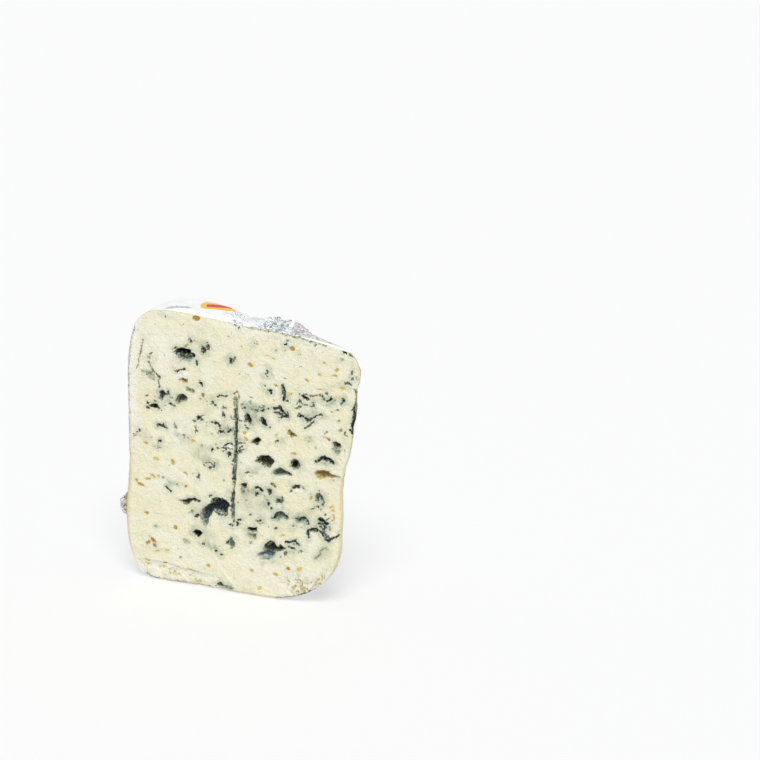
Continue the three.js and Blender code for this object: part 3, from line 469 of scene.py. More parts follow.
def line_distance(a, b, points):
    """Distance to the nearest of a line's straight stretches."""
    nearest = np.full(a.shape, 1e3)
    for (x0, y0), (x1, y1) in zip(points, points[1:]):
        dx, dy = x1 - x0, y1 - y0
        t = np.clip(((a - x0) * dx + (b - y0) * dy) / (dx * dx + dy * dy), 0, 1)
        nearest = np.minimum(nearest, np.hypot(a - x0 - t * dx, b - y0 - t * dy))
    return nearest


def inside_outline(a, b, points):
    """Distance inside a closed outline, below 0 outside it; a point is inside where a level line from it
    crosses the outline an odd number of times."""
    closed = points + points[:1]
    odd = np.zeros(a.shape, bool)
    for (x0, y0), (x1, y1) in zip(closed, closed[1:]):
        odd ^= ((y0 > b) != (y1 > b)) & (a < x0 + (b - y0) * (x1 - x0) / ((y1 - y0) or 1e-9))
    return line_distance(a, b, closed) * np.where(odd, 1, -1)


def cut_face_marks(a, b):
    """What each point of the cut face shows. Every mark's place is shaken by ripples first, so that no edge
    is clean. Returned: depth below the cut; distance inside the nearest mould lining, its tone and tint;
    the cloud of fine mould; distance inside the nearest amber pinhole and its brown; chalk. Where mould
    marks overlap, the one listed last gives the tone and the tint."""
    shaken_a = a + 0.34 * ripples(a, b, 2.4, 1, 2) + 0.22 * ripples(a, b, 0.9, 2, 2)
    shaken_b = b + 0.34 * ripples(a, b, 2.2, 3, 2) + 0.22 * ripples(a, b, 0.9, 4, 2)
    marks = []
    for deep, high_tone, low_tone, tint, points in POCKETS:
        floor, ceiling = min(p[1] for p in points), max(p[1] for p in points)
        # The lining darkens from its foot towards its top: painted shade under the pocket's overhang.
        tone = low_tone + (high_tone - low_tone) * step(b, floor, floor + 0.8 * (ceiling - floor))
        marks.append((inside_outline(shaken_a, shaken_b, points), min(deep, 1.2) * 0.9, deep, tone, tint))
    for across, up, width, height, turn, deep, dark, tint in SPECKS:
        inside = inside_oval(shaken_a, shaken_b, across, up, width, height, turn)
        marks.append((inside, min(width, height) / 2, deep, dark, tint))
    for width, deep, dark, tint, points in CRACKS:
        marks.append((width / 2 - line_distance(shaken_a, shaken_b, points), width / 2, deep, dark, tint))
    depth = np.zeros(a.shape)
    lining, tone, tints = np.full(a.shape, -9.0), np.zeros(a.shape), np.zeros(a.shape)
    for inside, reach, deep, dark, tint in marks:
        depth = np.maximum(depth, deep * np.clip(inside / reach + 0.12, 0, 1) ** 0.6)
        wins = (inside > lining) | (inside > 0)
        lining = np.maximum(lining, inside)
        tone, tints = np.where(wins, dark, tone), np.where(wins, tint, tints)
    cloud = np.zeros(a.shape)
    for across, up, width, height, turn, strength in CLOUDS:
        inside = inside_oval(shaken_a, shaken_b, across, up, width, height, turn) / (min(width, height) / 2)
        cloud = cloud + strength * step(inside, -0.15, 0.8)
    pinhole, brown = np.full(a.shape, -9.0), np.zeros(a.shape)
    for across, up, width, height, turn, strength in PINHOLES:
        inside = inside_oval(shaken_a, shaken_b, across, up, width * 1.1, height * 1.2, turn)
        depth = np.maximum(depth, 0.35 * np.clip(inside / 0.4, 0, 1) ** 0.5)
        brown = np.where(inside > pinhole, strength, brown)
        pinhole = np.maximum(pinhole, inside)
    chalk = np.zeros(a.shape)
    scales = np.abs(ripples(shaken_a, shaken_b, 1.6, 5, 2))
    for across, up, width, height, turn, white in FLAKES:
        patch = step(inside_oval(shaken_a, shaken_b, across, up, width, height, turn), -0.2, 0.5)
        chalk = np.maximum(chalk, white * patch * (0.5 + 0.5 * step(-scales, -0.3, -0.05)))
        depth = depth + 0.45 * white * patch * step(scales, 0.05, 0.35)
    return depth, np.maximum(lining, -4), tone, tints, cloud, np.maximum(pinhole, -4), brown, chalk


def grid_faces(rows, columns):
    """Quads of a grid of that many points, row by row, facing -Y where rows go up and columns go right."""
    corner = (np.arange(rows - 1)[:, None] * columns + np.arange(columns - 1)[None]).ravel()
    return np.stack([corner, corner + 1, corner + columns + 1, corner + columns], -1)


def piece_from(name, points, quads, triangles=None):
    """A mesh object at the origin from an array of points in mm and arrays of quads and triangles."""
    mesh = bpy.data.meshes.new(name)
    triangles = np.zeros((0, 3), int) if triangles is None else triangles
    mesh.vertices.add(len(points))
    mesh.vertices.foreach_set("co", (points * MM).astype(np.float32).ravel())
    mesh.loops.add(quads.size + triangles.size)
    mesh.loops.foreach_set("vertex_index", np.r_[quads.ravel(), triangles.ravel()].astype(np.int32))
    sizes = np.r_[np.full(len(quads), 4), np.full(len(triangles), 3)]
    mesh.polygons.add(len(sizes))
    mesh.polygons.foreach_set("loop_start", np.r_[0, np.cumsum(sizes)[:-1]].astype(np.int32))
    mesh.update(calc_edges=True)
    mesh.validate()
    mesh.shade_smooth()
    piece = bpy.data.objects.new(name, mesh)
    bpy.context.scene.collection.objects.link(piece)
    return piece


def paint(piece, name, values):
    """A number on each point of a piece, for its material to read."""
    layer = piece.data.attributes.new(name, "FLOAT", "POINT")
    layer.data.foreach_set("value", np.asarray(values, np.float32))


def carried_round(r, z, outward, angle, grow=0.0):
    """An outline at distance r from the axis and height z, turned to an angle from the cut face, and moved
    out by grow. Near the back cut it draws in on an arc that widens upwards, most near the heel's top, and
    narrows again at the heel's top corner. The arc is never over half the slice."""
    wanted = FOOT_ROUND + (BACK_ROUND - FOOT_ROUND) * np.clip(z / HEEL_HEIGHT, 0, 1)
    wanted = wanted + HEEL_ROUND * step(r, 70, 92) * step(z, 85, 108)
    wanted = wanted - CORNER_ROUND * step(r, 82, 93) * step(z, 95, 105)
    arc = np.minimum(wanted, r * np.sin(SLICE) / 2)
    turned = np.arcsin(np.clip(1 - r * np.sin(SLICE - angle) / np.maximum(arc, 1e-3), 0, 1))
    shift = grow * np.cos(turned) - arc * (1 - np.cos(turned))
    ring_r = r + outward[:, 0] * shift
    x = -ring_r * np.cos(angle) + grow * np.sin(turned) * np.sin(SLICE)
    y = ring_r * np.sin(angle) + grow * np.sin(turned) * np.cos(SLICE)
    return np.stack([x, y, z + outward[:, 1] * shift], -1)


ORIGIN = np.array([axis_x, face_y, paste_base]) / MM

underside, top_edge = smooth_path(UNDERSIDE, ACROSS), smooth_path(TOP_EDGE, ACROSS)
heel_edge, tip_edge = smooth_path(HEEL_EDGE, UP), smooth_path(TIP_EDGE, UP)
# The tip's edge is ragged, about twice as much towards its top; its two ends stay where they are.
tip_up = tip_edge[:, 1]
ragged = (0.35 + 0.4 * step(tip_up, 82, 87)) * ripples(tip_up, tip_up * 0, 3, 61, 3)
tip_edge[:, 0] += ragged * step(np.sin(np.linspace(0, np.pi, UP)), 0, 0.1)
face = coons(underside, top_edge, heel_edge, tip_edge)
across, up = face[..., 0], face[..., 1]
s = np.linspace(0, 1, ACROSS)[None, :]
t = np.linspace(0, 1, UP)[:, None]
from_heel, from_tip = s * FACE_WIDE, (1 - s) * FACE_WIDE
from_base, from_top = t * FACE_HIGH, (1 - t) * FACE_HIGH
edge = np.minimum(np.minimum(from_heel, from_tip), np.minimum(from_base, from_top))

depth, lining, tone, tints, cloud, pinhole, brown, chalk = cut_face_marks(across, up)
depth = depth * step(edge, 0.1, 1.2)
depth += 0.20 * ripples(across, up, 16, 11, 2) + 0.07 * ripples(across, up, 3.4, 12, 3)
# The rim turns over and crumbles, most along the base and at the toe.
crumbly = step(-edge, -2.2, 0) * (0.4 + 0.6 * ripples(across, up, 1.5, 13, 2))
depth += 0.30 * np.clip(1 - edge / FACE_EDGE, 0, 1) ** 2 + 0.30 * np.clip(crumbly, 0, 1)
# Along the base at the heel the paste broke away under a wavy ledge, whose lip is pale.
ledge = 7.9 - 0.13 * np.clip(across - 16, 0, 40) + 0.8 * ripples(across, across * 0, 6, 14, 2)
broken = step(ledge - up, 0, 0.45) * step(-across, -44, -34) * step(across, 1, 4)
depth += broken * (0.7 + 0.6 * ripples(across, up, 2.6, 15, 3))
chalk = np.maximum(chalk, 0.55 * broken * step(ripples(across, up, 1.6, 16, 3), -0.2, 0.2))
lip = step(-across, -40, -34) * step(across, 2, 5) * 1.2 * np.exp(-(((ledge - up - 0.2) / 0.5) ** 2))
chalk = np.maximum(chalk, lip)
# The toe's corner is all loose crumbs, with crevices between them as under the ledge.
loose = step(across, 62, 70) * step(-up, -15, -8) + step(across, 76, 84) * step(-up, -20, -12)
loose = np.clip(loose, 0, 1)
depth += loose * 0.9 * np.clip(0.4 + ripples(across, up, 1.7, 17, 3), 0, 1)
chalk = np.maximum(chalk, 0.8 * loose * step(ripples(across, up, 1.5, 18, 3), -0.1, 0.25))
# Painted shade in the crevices between the crumbs, here, under the ledge and along the crumbly base: thin
# lines that sink a little, lose their chalk and are coloured a darker olive by the material.
crevices = step(-np.abs(ripples(across, up, 1.9, 20, 3)), -0.13, -0.04)
crevices = crevices * step(ripples(across, up, 4, 24, 2), -0.1, 0.2)
crevices = crevices * np.clip(0.8 * broken + loose + 0.8 * crumbly * step(-up, -12, -6), 0, 1)
depth += 0.5 * crevices
chalk = chalk * (1 - 0.7 * crevices)
# A pale curved ridge that the wire left, and the drier, paler rind under the top and the heel.
ridge = np.exp(-(line_distance(across, up, [(34.5, 20), (35.6, 15), (38, 10), (42, 5), (45, 2)]) / 0.5) ** 2)
depth -= 0.3 * ridge
chalk = np.maximum(chalk, 0.5 * ridge)
rind = 0.45 * step(-from_top, -4.2, -3.2) * step(across, 30, 55)
rind = np.maximum(rind, 0.65 * step(-from_heel, -7, -3) * step(up, 50, 75))
rind = np.maximum(rind, 0.4 * np.exp(-(((across - 12) / 10) ** 2) - ((up - 99) / 11) ** 2))
chalk = np.maximum(chalk, rind * (0.8 + 0.4 * ripples(across, up, 4, 19, 2)))
front = np.stack([across - WAIST, depth, up], -1)

# The rim, from the heel's foot along the base to the tip, up it, and back over the top to the heel.
index = np.arange(UP * ACROSS).reshape(UP, ACROSS)
loop = np.concatenate([index[0, :-1], index[:-1, -1], index[-1, :0:-1], index[:0:-1, 0]])
rim_r, rim_z = WAIST - across.ravel()[loop], up.ravel()[loop]
outward = np.stack([np.roll(rim_z, 1) - np.roll(rim_z, -1), np.roll(rim_r, -1) - np.roll(rim_r, 1)], -1)
outward = outward / np.hypot(*outward.T)[:, None]
gather = 1 - (1 - np.arange(1, RIM_RINGS + 1) / RIM_RINGS) ** 2
rings = [carried_round(rim_r, rim_z, outward, SLICE * g) for g in gather]
middle = rings[-1].mean(0)
rings += [middle + (rings[RIM_RINGS - 1] - middle) * (1 - k / BACK_RINGS) for k in range(1, BACK_RINGS)]
count = len(loop)
first = UP * ACROSS
ring_index = [loop] + [first + k * count + np.arange(count) for k in range(len(rings))]
side_quads = [np.stack([a, b, np.roll(b, -1), np.roll(a, -1)], -1)
              for a, b in zip(ring_index, ring_index[1:])]
centre = first + len(rings) * count
cap = np.stack([ring_index[-1], np.full(count, centre), np.roll(ring_index[-1], -1)], -1)
points = np.concatenate([front.reshape(-1, 3), *rings, middle[None]]) + ORIGIN
quads = np.concatenate([grid_faces(UP, ACROSS), *side_quads])
cheese = piece_from("cheese_paste", points, quads, cap)

rind_and_crevice_shade = step(-edge, -0.9, -0.1) * (1 - 0.4 * step(up, 52, 64))
rind_and_crevice_shade = np.maximum(rind_and_crevice_shade, 1.2 * step(-from_heel, -3.4, -0.6) * step(-up, -56, -44))
# The crevices' painted shade is carried on the same number as the yellower rind.
rind_and_crevice_shade = np.maximum(rind_and_crevice_shade, 2 * crevices)
# The numbers that the material reads, each with its value on the rest of the slice.
painted = {"lining": (lining, -4), "tone": (tone, 0), "tint": (tints, 0), "cloud": (cloud, 0.08),
           "pinhole": (pinhole, -4), "brown": (brown, 0), "chalk": (chalk, 0), "rind_and_crevice_shade": (rind_and_crevice_shade, 0.3)}
for name, (values, beyond) in painted.items():
    paint(cheese, name, np.r_[values.ravel(), np.full(len(points) - first, float(beyond))])


def feed(owner, inputs):
    """Each input of a node or shader, by name or number: linked from a socket, or set to a value."""
    for name, value in inputs.items():
        if isinstance(value, bpy.types.NodeSocket):
            owner.id_data.links.new(value, owner.inputs[name])
        else:
            owner.inputs[name].default_value = value


def node(tree, kind, inputs, **settings):
    """A shader node with the given inputs and settings."""
    made = tree.nodes.new(kind)
    for name, value in settings.items():
        setattr(made, name, value)
    feed(made, inputs)
    return made


def srgb(red, green, blue):
    """A colour given as 0 to 255 display values, as the linear values that a shader takes."""
    display = np.array([red, green, blue]) / 255
    linear = np.where(display <= 0.04045, display / 12.92, ((display + 0.055) / 1.055) ** 2.4)
    return (*linear.tolist(), 1.0)


def mixed(amount, first_colour, second_colour):
    """Two colours mixed by an amount."""
    inputs = {0: amount, 6: first_colour, 7: second_colour}
    return node(amount.id_data, "ShaderNodeMix", inputs, data_type="RGBA").outputs[2]


def maths(operation, *values):
    """One sum on numbers and sockets; a plus after its name keeps the result between 0 and 1."""
    tree = next(value.id_data for value in values if isinstance(value, bpy.types.NodeSocket))
    inputs = dict(zip(range(3), (*values, 0.0, 0.0)))
    name, clamped = operation.rstrip("+"), operation.endswith("+")
    return node(tree, "ShaderNodeMath", inputs, operation=name, use_clamp=clamped).outputs[0]


def times(product, *factors):
    """The product of numbers and sockets."""
    for factor in factors:
        product = maths("MULTIPLY", product, factor)
    return product


def scaled(value, factor, added):
    """A value times a factor, with something added."""
    return maths("MULTIPLY_ADD", value, factor, added)


def rise(value, low, high):
    """0 below low, 1 above high, smooth between."""
    inputs = {"Value": value, "From Min": low, "From Max": high}
    made = node(value.id_data, "ShaderNodeMapRange", inputs, interpolation_type="SMOOTHSTEP")
    return made.outputs["Result"]


def ramp(amount, places, colours):
    """A colour ramp through colours, given as display values, at their places along it."""
    made = node(amount.id_data, "ShaderNodeValToRGB", {"Fac": amount})
    band = made.color_ramp
    while len(band.elements) < len(places):
        band.elements.new(1.0)
    for element, place, colour in zip(band.elements, places, colours):
        element.position, element.color = place, srgb(*colour)
    return made.outputs["Color"]


def speckle(coordinates, scale, detail):
    """Noise about 0, mostly within a quarter either way; scale in waves per metre."""
    inputs = {"Vector": coordinates, "Scale": scale, "Detail": detail, "Roughness": 0.6}
    return maths("SUBTRACT", node(coordinates.id_data, "ShaderNodeTexNoise", inputs).outputs["Fac"], 0.5)


def painted_number(tree, name):
    """A number painted on the piece's points."""
    return node(tree, "ShaderNodeAttribute", {}, attribute_name=name).outputs["Fac"]


def bumped(shader, height, strength, distance):
    """Fine relief on a shader: heights and the distance that a height of 1 stands for."""
    inputs = {"Height": height, "Strength": strength, "Distance": distance}
    feed(shader, {"Normal": node(shader.id_data, "ShaderNodeBump", inputs).outputs["Normal"]})


def blank_material(name):
    """A new material, its tree, its Principled shader and its Object coordinates."""
    material = bpy.data.materials.new(name)
    material.use_nodes = True
    tree = material.node_tree
    shader = tree.nodes["Principled BSDF"]
    return material, tree, shader, node(tree, "ShaderNodeTexCoord", {}).outputs["Object"]


def paste_material():
    """Ivory paste; mould linings whose edges are broken up by noise finer than the mesh, with satellites and
    a grey-green stain round them, darker at the top of each pocket as painted shade and with a painted
    highlight on their rims; faint clouds; amber pinholes; chalk; the yellower rind, and painted shade in the
    crevices between crumbs."""
    material, tree, shader, place = blank_material("paste")
    read = {name: painted_number(tree, name) for name in painted}
    broad, medium, spots = speckle(place, 60, 2), speckle(place, 300, 4), speckle(place, 560, 2)
    fine, grit = speckle(place, 1300, 3), speckle(place, 3200, 3)

    ivories = [(245, 237, 200), (246, 242, 212), (248, 246, 226)]
    cream = ramp(scaled(broad, 1.1, 0.55), (0.2, 0.5, 0.8), ivories)
    cream = mixed(rise(medium, 0.02, 0.22), cream, srgb(236, 229, 190))
    cream = mixed(times(rise(maths("ADD", fine, medium), 0.10, 0.3), 0.6), cream, srgb(254, 252, 240))
    cream = mixed(times(rise(grit, 0.06, 0.2), 0.35), cream, srgb(214, 204, 164))
    # The yellower rind; and painted shade in the crevices, which take the rind's yellow and then a darker
    # olive, with some olive flecks reaching the heel's rind.
    with_rind_and_crevice_shade = mixed(maths("MULTIPLY+", read["rind_and_crevice_shade"], 0.75), cream, srgb(228, 214, 160))
    crevice_shade_and_rind_flecks = rise(scaled(fine, 1.6, read["rind_and_crevice_shade"]), 1.1, 1.8)
    with_rind_and_crevice_shade = mixed(times(crevice_shade_and_rind_flecks, 0.7), with_rind_and_crevice_shade, srgb(186, 172, 114))

    haze = maths("MULTIPLY+", read["cloud"], scaled(medium, 5.0, 1.6))
    clouded = mixed(haze, with_rind_and_crevice_shade, srgb(134, 152, 124))
    broken = scaled(fine, 1.5, scaled(grit, 1.1, read["lining"]))
    strong = rise(read["tone"], 0.55, 0.95)
    near = times(rise(read["lining"], -1.7, -0.1), strong)
    satellites = times(rise(spots, 0.10, 0.2), 1.3, near)
    broken = maths("ADD", broken, satellites)
    stain = times(rise(scaled(medium, 6.5, broken), -2.3, 0.2), 0.42, scaled(strong, 0.7, 0.3))
    stained = mixed(stain, clouded, srgb(160, 180, 152))
    lone = times(rise(scaled(read["cloud"], 0.34, spots), 0.20, 0.26), 0.75)
    stained = mixed(lone, stained, srgb(96, 110, 94))
    flaky = maths("MULTIPLY+", read["chalk"], scaled(fine, 2.4, 1.0))
    stained = mixed(flaky, stained, srgb(255, 254, 240))

    core = scaled(rise(broken, 0.0, 0.7), 0.32, -0.18)
    dark = maths("ADD+", maths("ADD", read["tone"], core), scaled(fine, 0.9, times(grit, 1.3)))
    places = (0.25, 0.5, 0.72, 0.88, 1.0)
    cool = ramp(dark, places, [(196, 208, 204), (142, 160, 158), (92, 106, 108), (46, 54, 58), (16, 20, 24)])
    plain = ramp(dark, places, [(196, 206, 176), (138, 152, 124), (84, 98, 82), (42, 50, 46), (15, 18, 18)])
    warm = ramp(dark, places, [(214, 196, 128), (164, 142, 76), (104, 82, 40), (58, 42, 26), (22, 17, 14)])
    lining = mixed(rise(read["tint"], 0.0, 1.0), plain, warm)
    lining = mixed(rise(read["tint"], 0.0, -0.8), lining, cool)
    # Painted highlight: a pale cream rim round each strong lining, where the cut edge catches the light.
    lip = times(rise(broken, -0.50, -0.26), times(strong, 0.45))
    stained = mixed(lip, stained, srgb(252, 248, 228))
    moulded = mixed(rise(broken, -0.14, 0.06), stained, lining)

    hole = scaled(fine, 1.0, scaled(grit, 0.8, read["pinhole"]))
    ambers = [(240, 224, 146), (238, 208, 80), (214, 170, 40), (138, 98, 24)]
    amber = ramp(scaled(grit, 0.8, times(read["brown"], 0.85)), (0.0, 0.4, 0.75, 1.0), ambers)
    amber = mixed(times(rise(hole, 0.30, 0.10), 0.40), amber, srgb(140, 110, 44))
    glowing = mixed(times(rise(hole, -0.8, 0), 0.18), moulded, srgb(228, 206, 132))
    rough = scaled(rise(broken, -0.2, 0.2), 0.3, scaled(medium, 0.6, 0.42))
    feed(shader, {"Base Color": mixed(rise(hole, -0.14, 0.14), glowing, amber), "Roughness": rough,
                  "Subsurface Weight": 0.15, "Subsurface Radius": (1.0, 0.85, 0.6),
                  "Subsurface Scale": 0.0007, "Specular IOR Level": 0.45})
    bumped(shader, scaled(medium, 1.2, scaled(fine, 0.5, times(grit, 0.25))), 1.0, 0.0011)
    return material


cheese.data.materials.append(paste_material())
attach(cheese, "root")
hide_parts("cheese")

# ---- The foil -----------------------------------------------------------------------------------------
# Thin foil with a white, printed lacquer. It was cut through with the paste, so it ends about flush with
# the cut face, and it clings to the top, the heel, the base and the back. It is the face's outline carried
# round the axis and lifted in creases, with a creased panel over the back cut.
FOIL_STEPS = 150  # points along the top, the heel and the base each
FOIL_RINGS = 56
FOIL_GAP, FOIL_THICKNESS = 0.06, 0.14  # mm
FOIL_TOP_END, FOIL_BASE_END = 93.6, 78.0  # how far across it reaches, at the top and under the toe, mm
FLAP_UP, FLAP_HALF = 29.5, 5.2  # the pinched fold on the heel: its height and half length, mm
FOLD_R, FOLD_BEHIND, FOLD_SLANT = 79.9, 2.2, 0.40  # the small fold on the top: its start, mm, and slant


def until(path, end):
    """The stretch of a path that lies before the given distance across."""
    return path[: np.searchsorted(path[:, 0], end)]


top_part = smooth_path(until(smooth_path(TOP_EDGE, 400), FOIL_TOP_END)[::12], FOIL_STEPS)
base_part = smooth_path(until(smooth_path(UNDERSIDE, 400), FOIL_BASE_END)[::12], FOIL_STEPS)
heel_part = smooth_path(HEEL_EDGE, FOIL_STEPS)
# One run: from the tip over the top to the heel, down it, and under the base to the toe.
run = np.concatenate([top_part[::-1], heel_part[::-1][1:], base_part[1:]])
run_r, run_z = WAIST - run[:, 0], run[:, 1]
run_out = np.stack([-np.gradient(run_z), np.gradient(run_r)], -1)
run_out = run_out / np.hypot(*run_out.T)[:, None]
along = np.r_[0, np.cumsum(np.hypot(*np.diff(run, axis=0).T))]
on_top, on_heel = step(run_z, 100, 104), step(run_r, 90, 94) * step(run_z, 4, 9)


def creases(a, b, size, seed):
    """Sharp ridges between flatter facets: 1 less the size of smooth random heights, to the sixth power."""
    return (1 - np.abs(ripples(a, b, size, seed, 3))) ** 6


# How far behind the cut the foil's front edge lies: a ragged third of a millimetre, 3 mm more on the
# heel's lower half and about 1 mm more under the base.
low_heel = on_heel * step(-run_z, -54, -44)
flap = on_heel * np.exp(-((run_z - FLAP_UP) / FLAP_HALF) ** 4)
set_back = 0.35 + 0.3 * ripples(along, along * 0, 4, 41, 3) + 3.0 * low_heel * (1 - flap)
set_back = set_back + 1.2 * step(-run_z, -3, -0.5)
start_angle = np.clip(set_back, 0.05, 9) / np.maximum(run_r, 4)
band = []
for k in range(FOIL_RINGS):
    f = 1 - (1 - k / (FOIL_RINGS - 1)) ** 1.5
    angle = np.minimum(start_angle, SLICE) * (1 - f) + SLICE * f
    behind = run_r * np.sin(angle)
    shell_points = carried_round(run_r, run_z, run_out, angle, FOIL_GAP * step(f, 0.0, 0.06))
    lift = 0.30 * creases(along, behind, 15, 21) + 0.14 * creases(along, behind, 5, 22)
    lift = lift * step(behind, 0.8, 3.5) * step(-f, -1.0, -0.9)
    # Crumples where it was gathered at the back of the top, and a fold that stands up by its front edge.
    gathered = on_top * step(run_r, 22, 30) * step(-run_r, -50, -40)
    bundle = 1.7 * step(f, 0.45, 0.8) * step(-f, -1.0, -0.85)
    lift += gathered * (bundle + 1.5 * creases(along, behind, 3.4, 23) * step(f, 0.05, 0.4))
    fold = np.abs(behind - FOLD_BEHIND - (FOLD_R - run_r) * FOLD_SLANT) / 0.8
    lift += 1.0 * on_top * np.exp(-fold**2) * step(run_r, 70.5, 73) * step(-run_r, -81, -78.5)
    pinched = flap * np.exp(-np.clip(behind - 0.4, 0, 99) / 3.0)
    lift += pinched * (2.4 + 2.2 * np.abs(ripples(along, behind, 2.6, 24, 3)))
    lift = np.minimum(lift * step(run_z, 1.2, 4), 4)
    normal = np.stack([-run_out[:, 0] * np.cos(angle), run_out[:, 0] * np.sin(angle), run_out[:, 1]], -1)
    band.append(shell_points + normal * lift[:, None])
band = np.array(band)

n = FOIL_STEPS
last_ring = band[-1]
edge_top, edge_heel, edge_base = last_ring[:n][::-1], last_ring[n - 1:2 * n - 1][::-1], last_ring[2 * n - 2:]
edge_tip = edge_base[-1] + (edge_top[-1] - edge_base[-1]) * np.linspace(0, 1, n)[:, None]
back = coons(edge_base, edge_top, edge_heel, edge_tip)
back_out = np.array([np.sin(SLICE), np.cos(SLICE), 0])
up_share, in_share = np.meshgrid(np.linspace(0, 1, n), np.linspace(0, 1, n), indexing="ij")
fade = step(np.minimum(np.minimum(in_share, up_share), 1 - up_share), 0, 0.06)
wrinkle = 0.5 * creases(back[..., 0], back[..., 2], 22, 31) + 0.2 * creases(back[..., 0], back[..., 2], 7, 32)
back = back + back_out * (wrinkle * fade)[..., None]

# The back panel shares its base, heel and top edges with the band's last ring.
band_points = band.reshape(-1, 3)
last_start = (FOIL_RINGS - 1) * len(run)
inner = np.ones((n, n), bool)
inner[0, :] = inner[-1, :] = inner[:, 0] = False
grid = np.zeros((n, n), int)
grid[inner] = len(band_points) + np.arange(inner.sum())
grid[0, :] = last_start + 2 * n - 2 + np.arange(n)
grid[-1, :] = last_start + n - 1 - np.arange(n)
grid[:, 0] = last_start + 2 * n - 2 - np.arange(n)
back_quads = np.stack([grid[:-1, :-1], grid[1:, :-1], grid[1:, 1:], grid[:-1, 1:]], -1).reshape(-1, 4)
foil_points = np.concatenate([band_points, back[inner]]) + ORIGIN
band_quads = grid_faces(FOIL_RINGS, len(run))[:, ::-1]
foil = piece_from("foil_sheet", foil_points, np.concatenate([band_quads, back_quads]))
# Bare metal shows where the lacquer cracked: at the heel's front edge and on the pinched fold.
ring_share = np.linspace(0, 1, FOIL_RINGS)[:, None]
bare = on_heel[None] * step(-ring_share, -0.2, -0.05) + flap[None] * step(-ring_share, -0.4, -0.2)
paint(foil, "bare", np.r_[np.clip(bare, 0, 1).ravel(), np.zeros(int(inner.sum()))])
shell = foil.modifiers.new("thickness", "SOLIDIFY")
shell.thickness = FOIL_THICKNESS * MM
shell.offset = 1
shell.use_rim = True


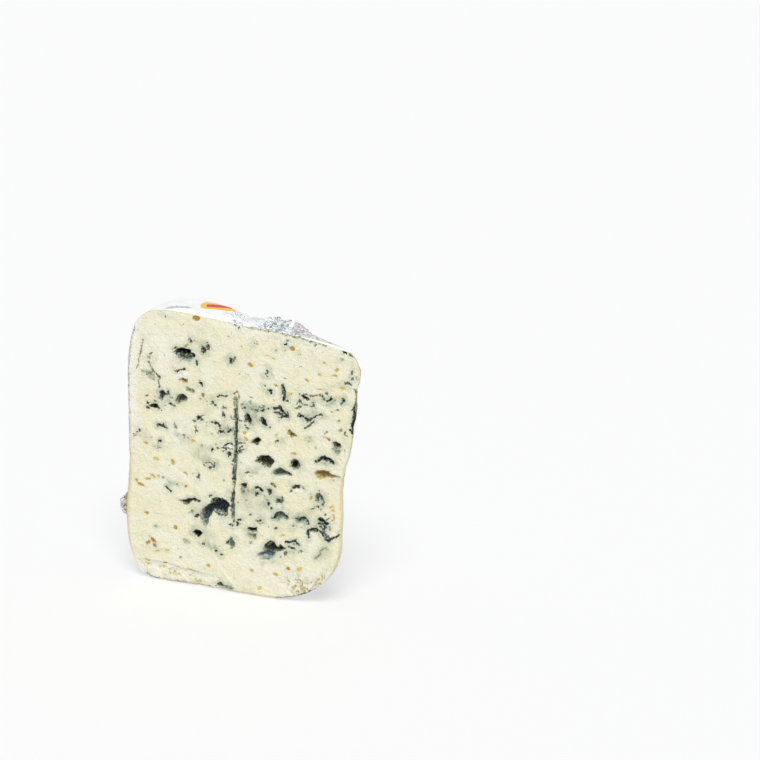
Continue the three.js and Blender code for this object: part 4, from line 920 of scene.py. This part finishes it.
def foil_material():
    """White lacquer with fine slate hatching over part of the top and back, painted shade in the creases of
    the top's crumples, a plain golden sticker with one crimson bar, and bare metal where the lacquer has
    cracked, with painted shade in its creases and a painted highlight."""
    material, tree, shader, place = blank_material("printed_foil")
    bare = painted_number(tree, "bare")
    medium, fine = speckle(place, 140, 3), speckle(place, 900, 3)
    white = ramp(scaled(medium, 1.4, 0.5), (0.3, 0.7), [(241, 244, 246), (252, 252, 252)])
    x, y, z = node(tree, "ShaderNodeSeparateXYZ", {"Vector": place}).outputs
    from_axis, behind_cut = maths("SUBTRACT", axis_x, x), maths("SUBTRACT", y, face_y)
    # Hatching: thin lines that wander across the top, broken where a slower noise is low.
    lines_per_metre = 620
    bent = scaled(medium, 0.014, scaled(x, 0.55, y))
    line = maths("ABSOLUTE", maths("SUBTRACT", maths("FRACT", times(bent, lines_per_metre)), 0.5))
    stroke = times(rise(line, 0.24, 0.10), rise(speckle(place, 260, 2), -0.04, 0.04))
    wandering = scaled(medium, 0.02, scaled(y, -0.3, from_axis))
    zone = times(rise(from_axis, 0.024, 0.028), rise(wandering, 0.064, 0.060))
    zone = times(zone, rise(scaled(medium, 0.12, z), 0.07, 0.10))
    inked = mixed(times(stroke, zone, 0.75), white, srgb(104, 124, 128))
    # On the crumples of the top: dark crease lines, which are painted shade, and grey facets.
    crinkle = rise(maths("ABSOLUTE", speckle(place, 340, 2)), 0.036, 0.012)
    crumple = times(rise(from_axis, 0.021, 0.025), rise(from_axis, 0.046, 0.038), rise(z, 0.098, 0.102))
    inked = mixed(times(times(crinkle, crumple), 0.95), inked, srgb(72, 86, 90))
    inked = mixed(times(crumple, rise(medium, -0.04, 0.08), 0.45), inked, srgb(150, 164, 162))
    # The shade along the small fold by the front edge, and grey-brown dust towards the tip.
    fold_line = maths("SUBTRACT", behind_cut, scaled(from_axis, -0.4, 0.0342))
    fold_line = maths("ADD", maths("ABSOLUTE", fold_line), scaled(fine, 0.001, -0.0007))
    fold_zone = times(rise(from_axis, 0.070, 0.073), rise(from_axis, 0.082, 0.079))
    folded = times(rise(maths("ABSOLUTE", fold_line), 0.0006, 0.0002), fold_zone)
    inked = mixed(times(folded, 0.7), inked, srgb(136, 148, 156))
    dusty = times(rise(from_axis, 0.032, 0.027), rise(behind_cut, 0.0012, 0.0022))
    dusty = times(dusty, rise(scaled(medium, 0.02, z), 0.094, 0.102), 0.8)
    dust = ramp(scaled(fine, 2.0, 0.5), (0.35, 0.6), [(148, 138, 138), (226, 218, 216)])
    inked = mixed(dusty, inked, dust)
    # The sticker: a rounded block, where the fourth powers of the distances along and over add up below 1.
    sticker_r, sticker_behind, turn = 64.3 * MM, 14.2 * MM, np.radians(25)
    half_long, half_wide = 0.0070, 0.0044
    c, s = float(np.cos(turn)), float(np.sin(turn))
    east = maths("SUBTRACT", x, axis_x - sticker_r)
    north = maths("SUBTRACT", y, face_y + sticker_behind)
    along_it, over_it = scaled(east, c, times(north, s)), scaled(north, c, times(east, -s))
    far = [maths("POWER", maths("ABSOLUTE", maths("DIVIDE", distance, half)), 4.0)
           for distance, half in ((along_it, half_long), (over_it, half_wide))]
    on_it = times(rise(maths("ADD", *far), 1.06, 0.94), rise(z, 0.09, 0.095))
    bar = times(rise(maths("ABSOLUTE", over_it), 0.0016, 0.0014),
                rise(maths("ABSOLUTE", along_it), 0.0048, 0.0046))
    printed = mixed(on_it, inked, mixed(bar, srgb(244, 196, 30), srgb(206, 52, 84)))
    # Bare metal, mottled from grey to near white, the lighter part partly a painted highlight on the crumpled
    # sheet, with dark lines that are painted shade in its creases.
    greys = [(150, 154, 156), (228, 230, 232), (250, 251, 252)]
    metal = ramp(scaled(fine, 1.8, 0.5), (0.32, 0.46, 0.7), greys)
    crease_shade_lines = rise(maths("ABSOLUTE", speckle(place, 620, 2)), 0.045, 0.012)
    metal = mixed(times(crease_shade_lines, 0.9), metal, srgb(62, 66, 70))
    worn = maths("MULTIPLY+", bare, scaled(fine, 3.0, 0.9))
    feed(shader, {"Base Color": mixed(worn, printed, metal), "Metallic": times(worn, 0.25),
                  "Roughness": 0.36})
    bumped(shader, medium, 0.5, 0.001)
    return material


foil.data.materials.append(foil_material())
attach(foil, "root")
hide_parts("foil_wrapper")

# ---- Floor and light ----------------------------------------------------------------------------------
# A plain white sweep under an even white sky, with one very wide light from high in front, on the tip's
# side.
FLOOR_HALF = 15  # metres
floor_mesh = bpy.data.meshes.new("floor")
floor_corners = [(x * FLOOR_HALF, y * FLOOR_HALF, 0) for x, y in ((-1, -1), (1, -1), (1, 1), (-1, 1))]
floor_mesh.from_pydata(floor_corners, [], [(0, 1, 2, 3)])
floor = bpy.data.objects.new("floor", floor_mesh)
bpy.context.scene.collection.objects.link(floor)
floor_material, _, floor_shader, _ = blank_material("floor")
feed(floor_shader, {"Base Color": (0.62, 0.62, 0.62, 1), "Emission Color": (1, 1, 1, 1),
                    "Emission Strength": 0.30, "Roughness": 0.9, "Specular IOR Level": 0.1})
floor_mesh.materials.append(floor_material)

world = bpy.data.worlds.new("studio")
bpy.context.scene.world = world
world.use_nodes = True
feed(world.node_tree.nodes["Background"], {"Color": (0.99, 0.995, 1.0, 1), "Strength": 0.62})

lamp_data = bpy.data.lights.new("key", "SUN")
lamp_data.angle, lamp_data.energy = np.radians(32), 1.72
lamp = bpy.data.objects.new("key", lamp_data)
bpy.context.scene.collection.objects.link(lamp)
lamp.rotation_euler = Vector((-0.30, 0.65, -1.1)).to_track_quat("-Z", "Y").to_euler()
bpy.context.scene.view_settings.view_transform = "Standard"
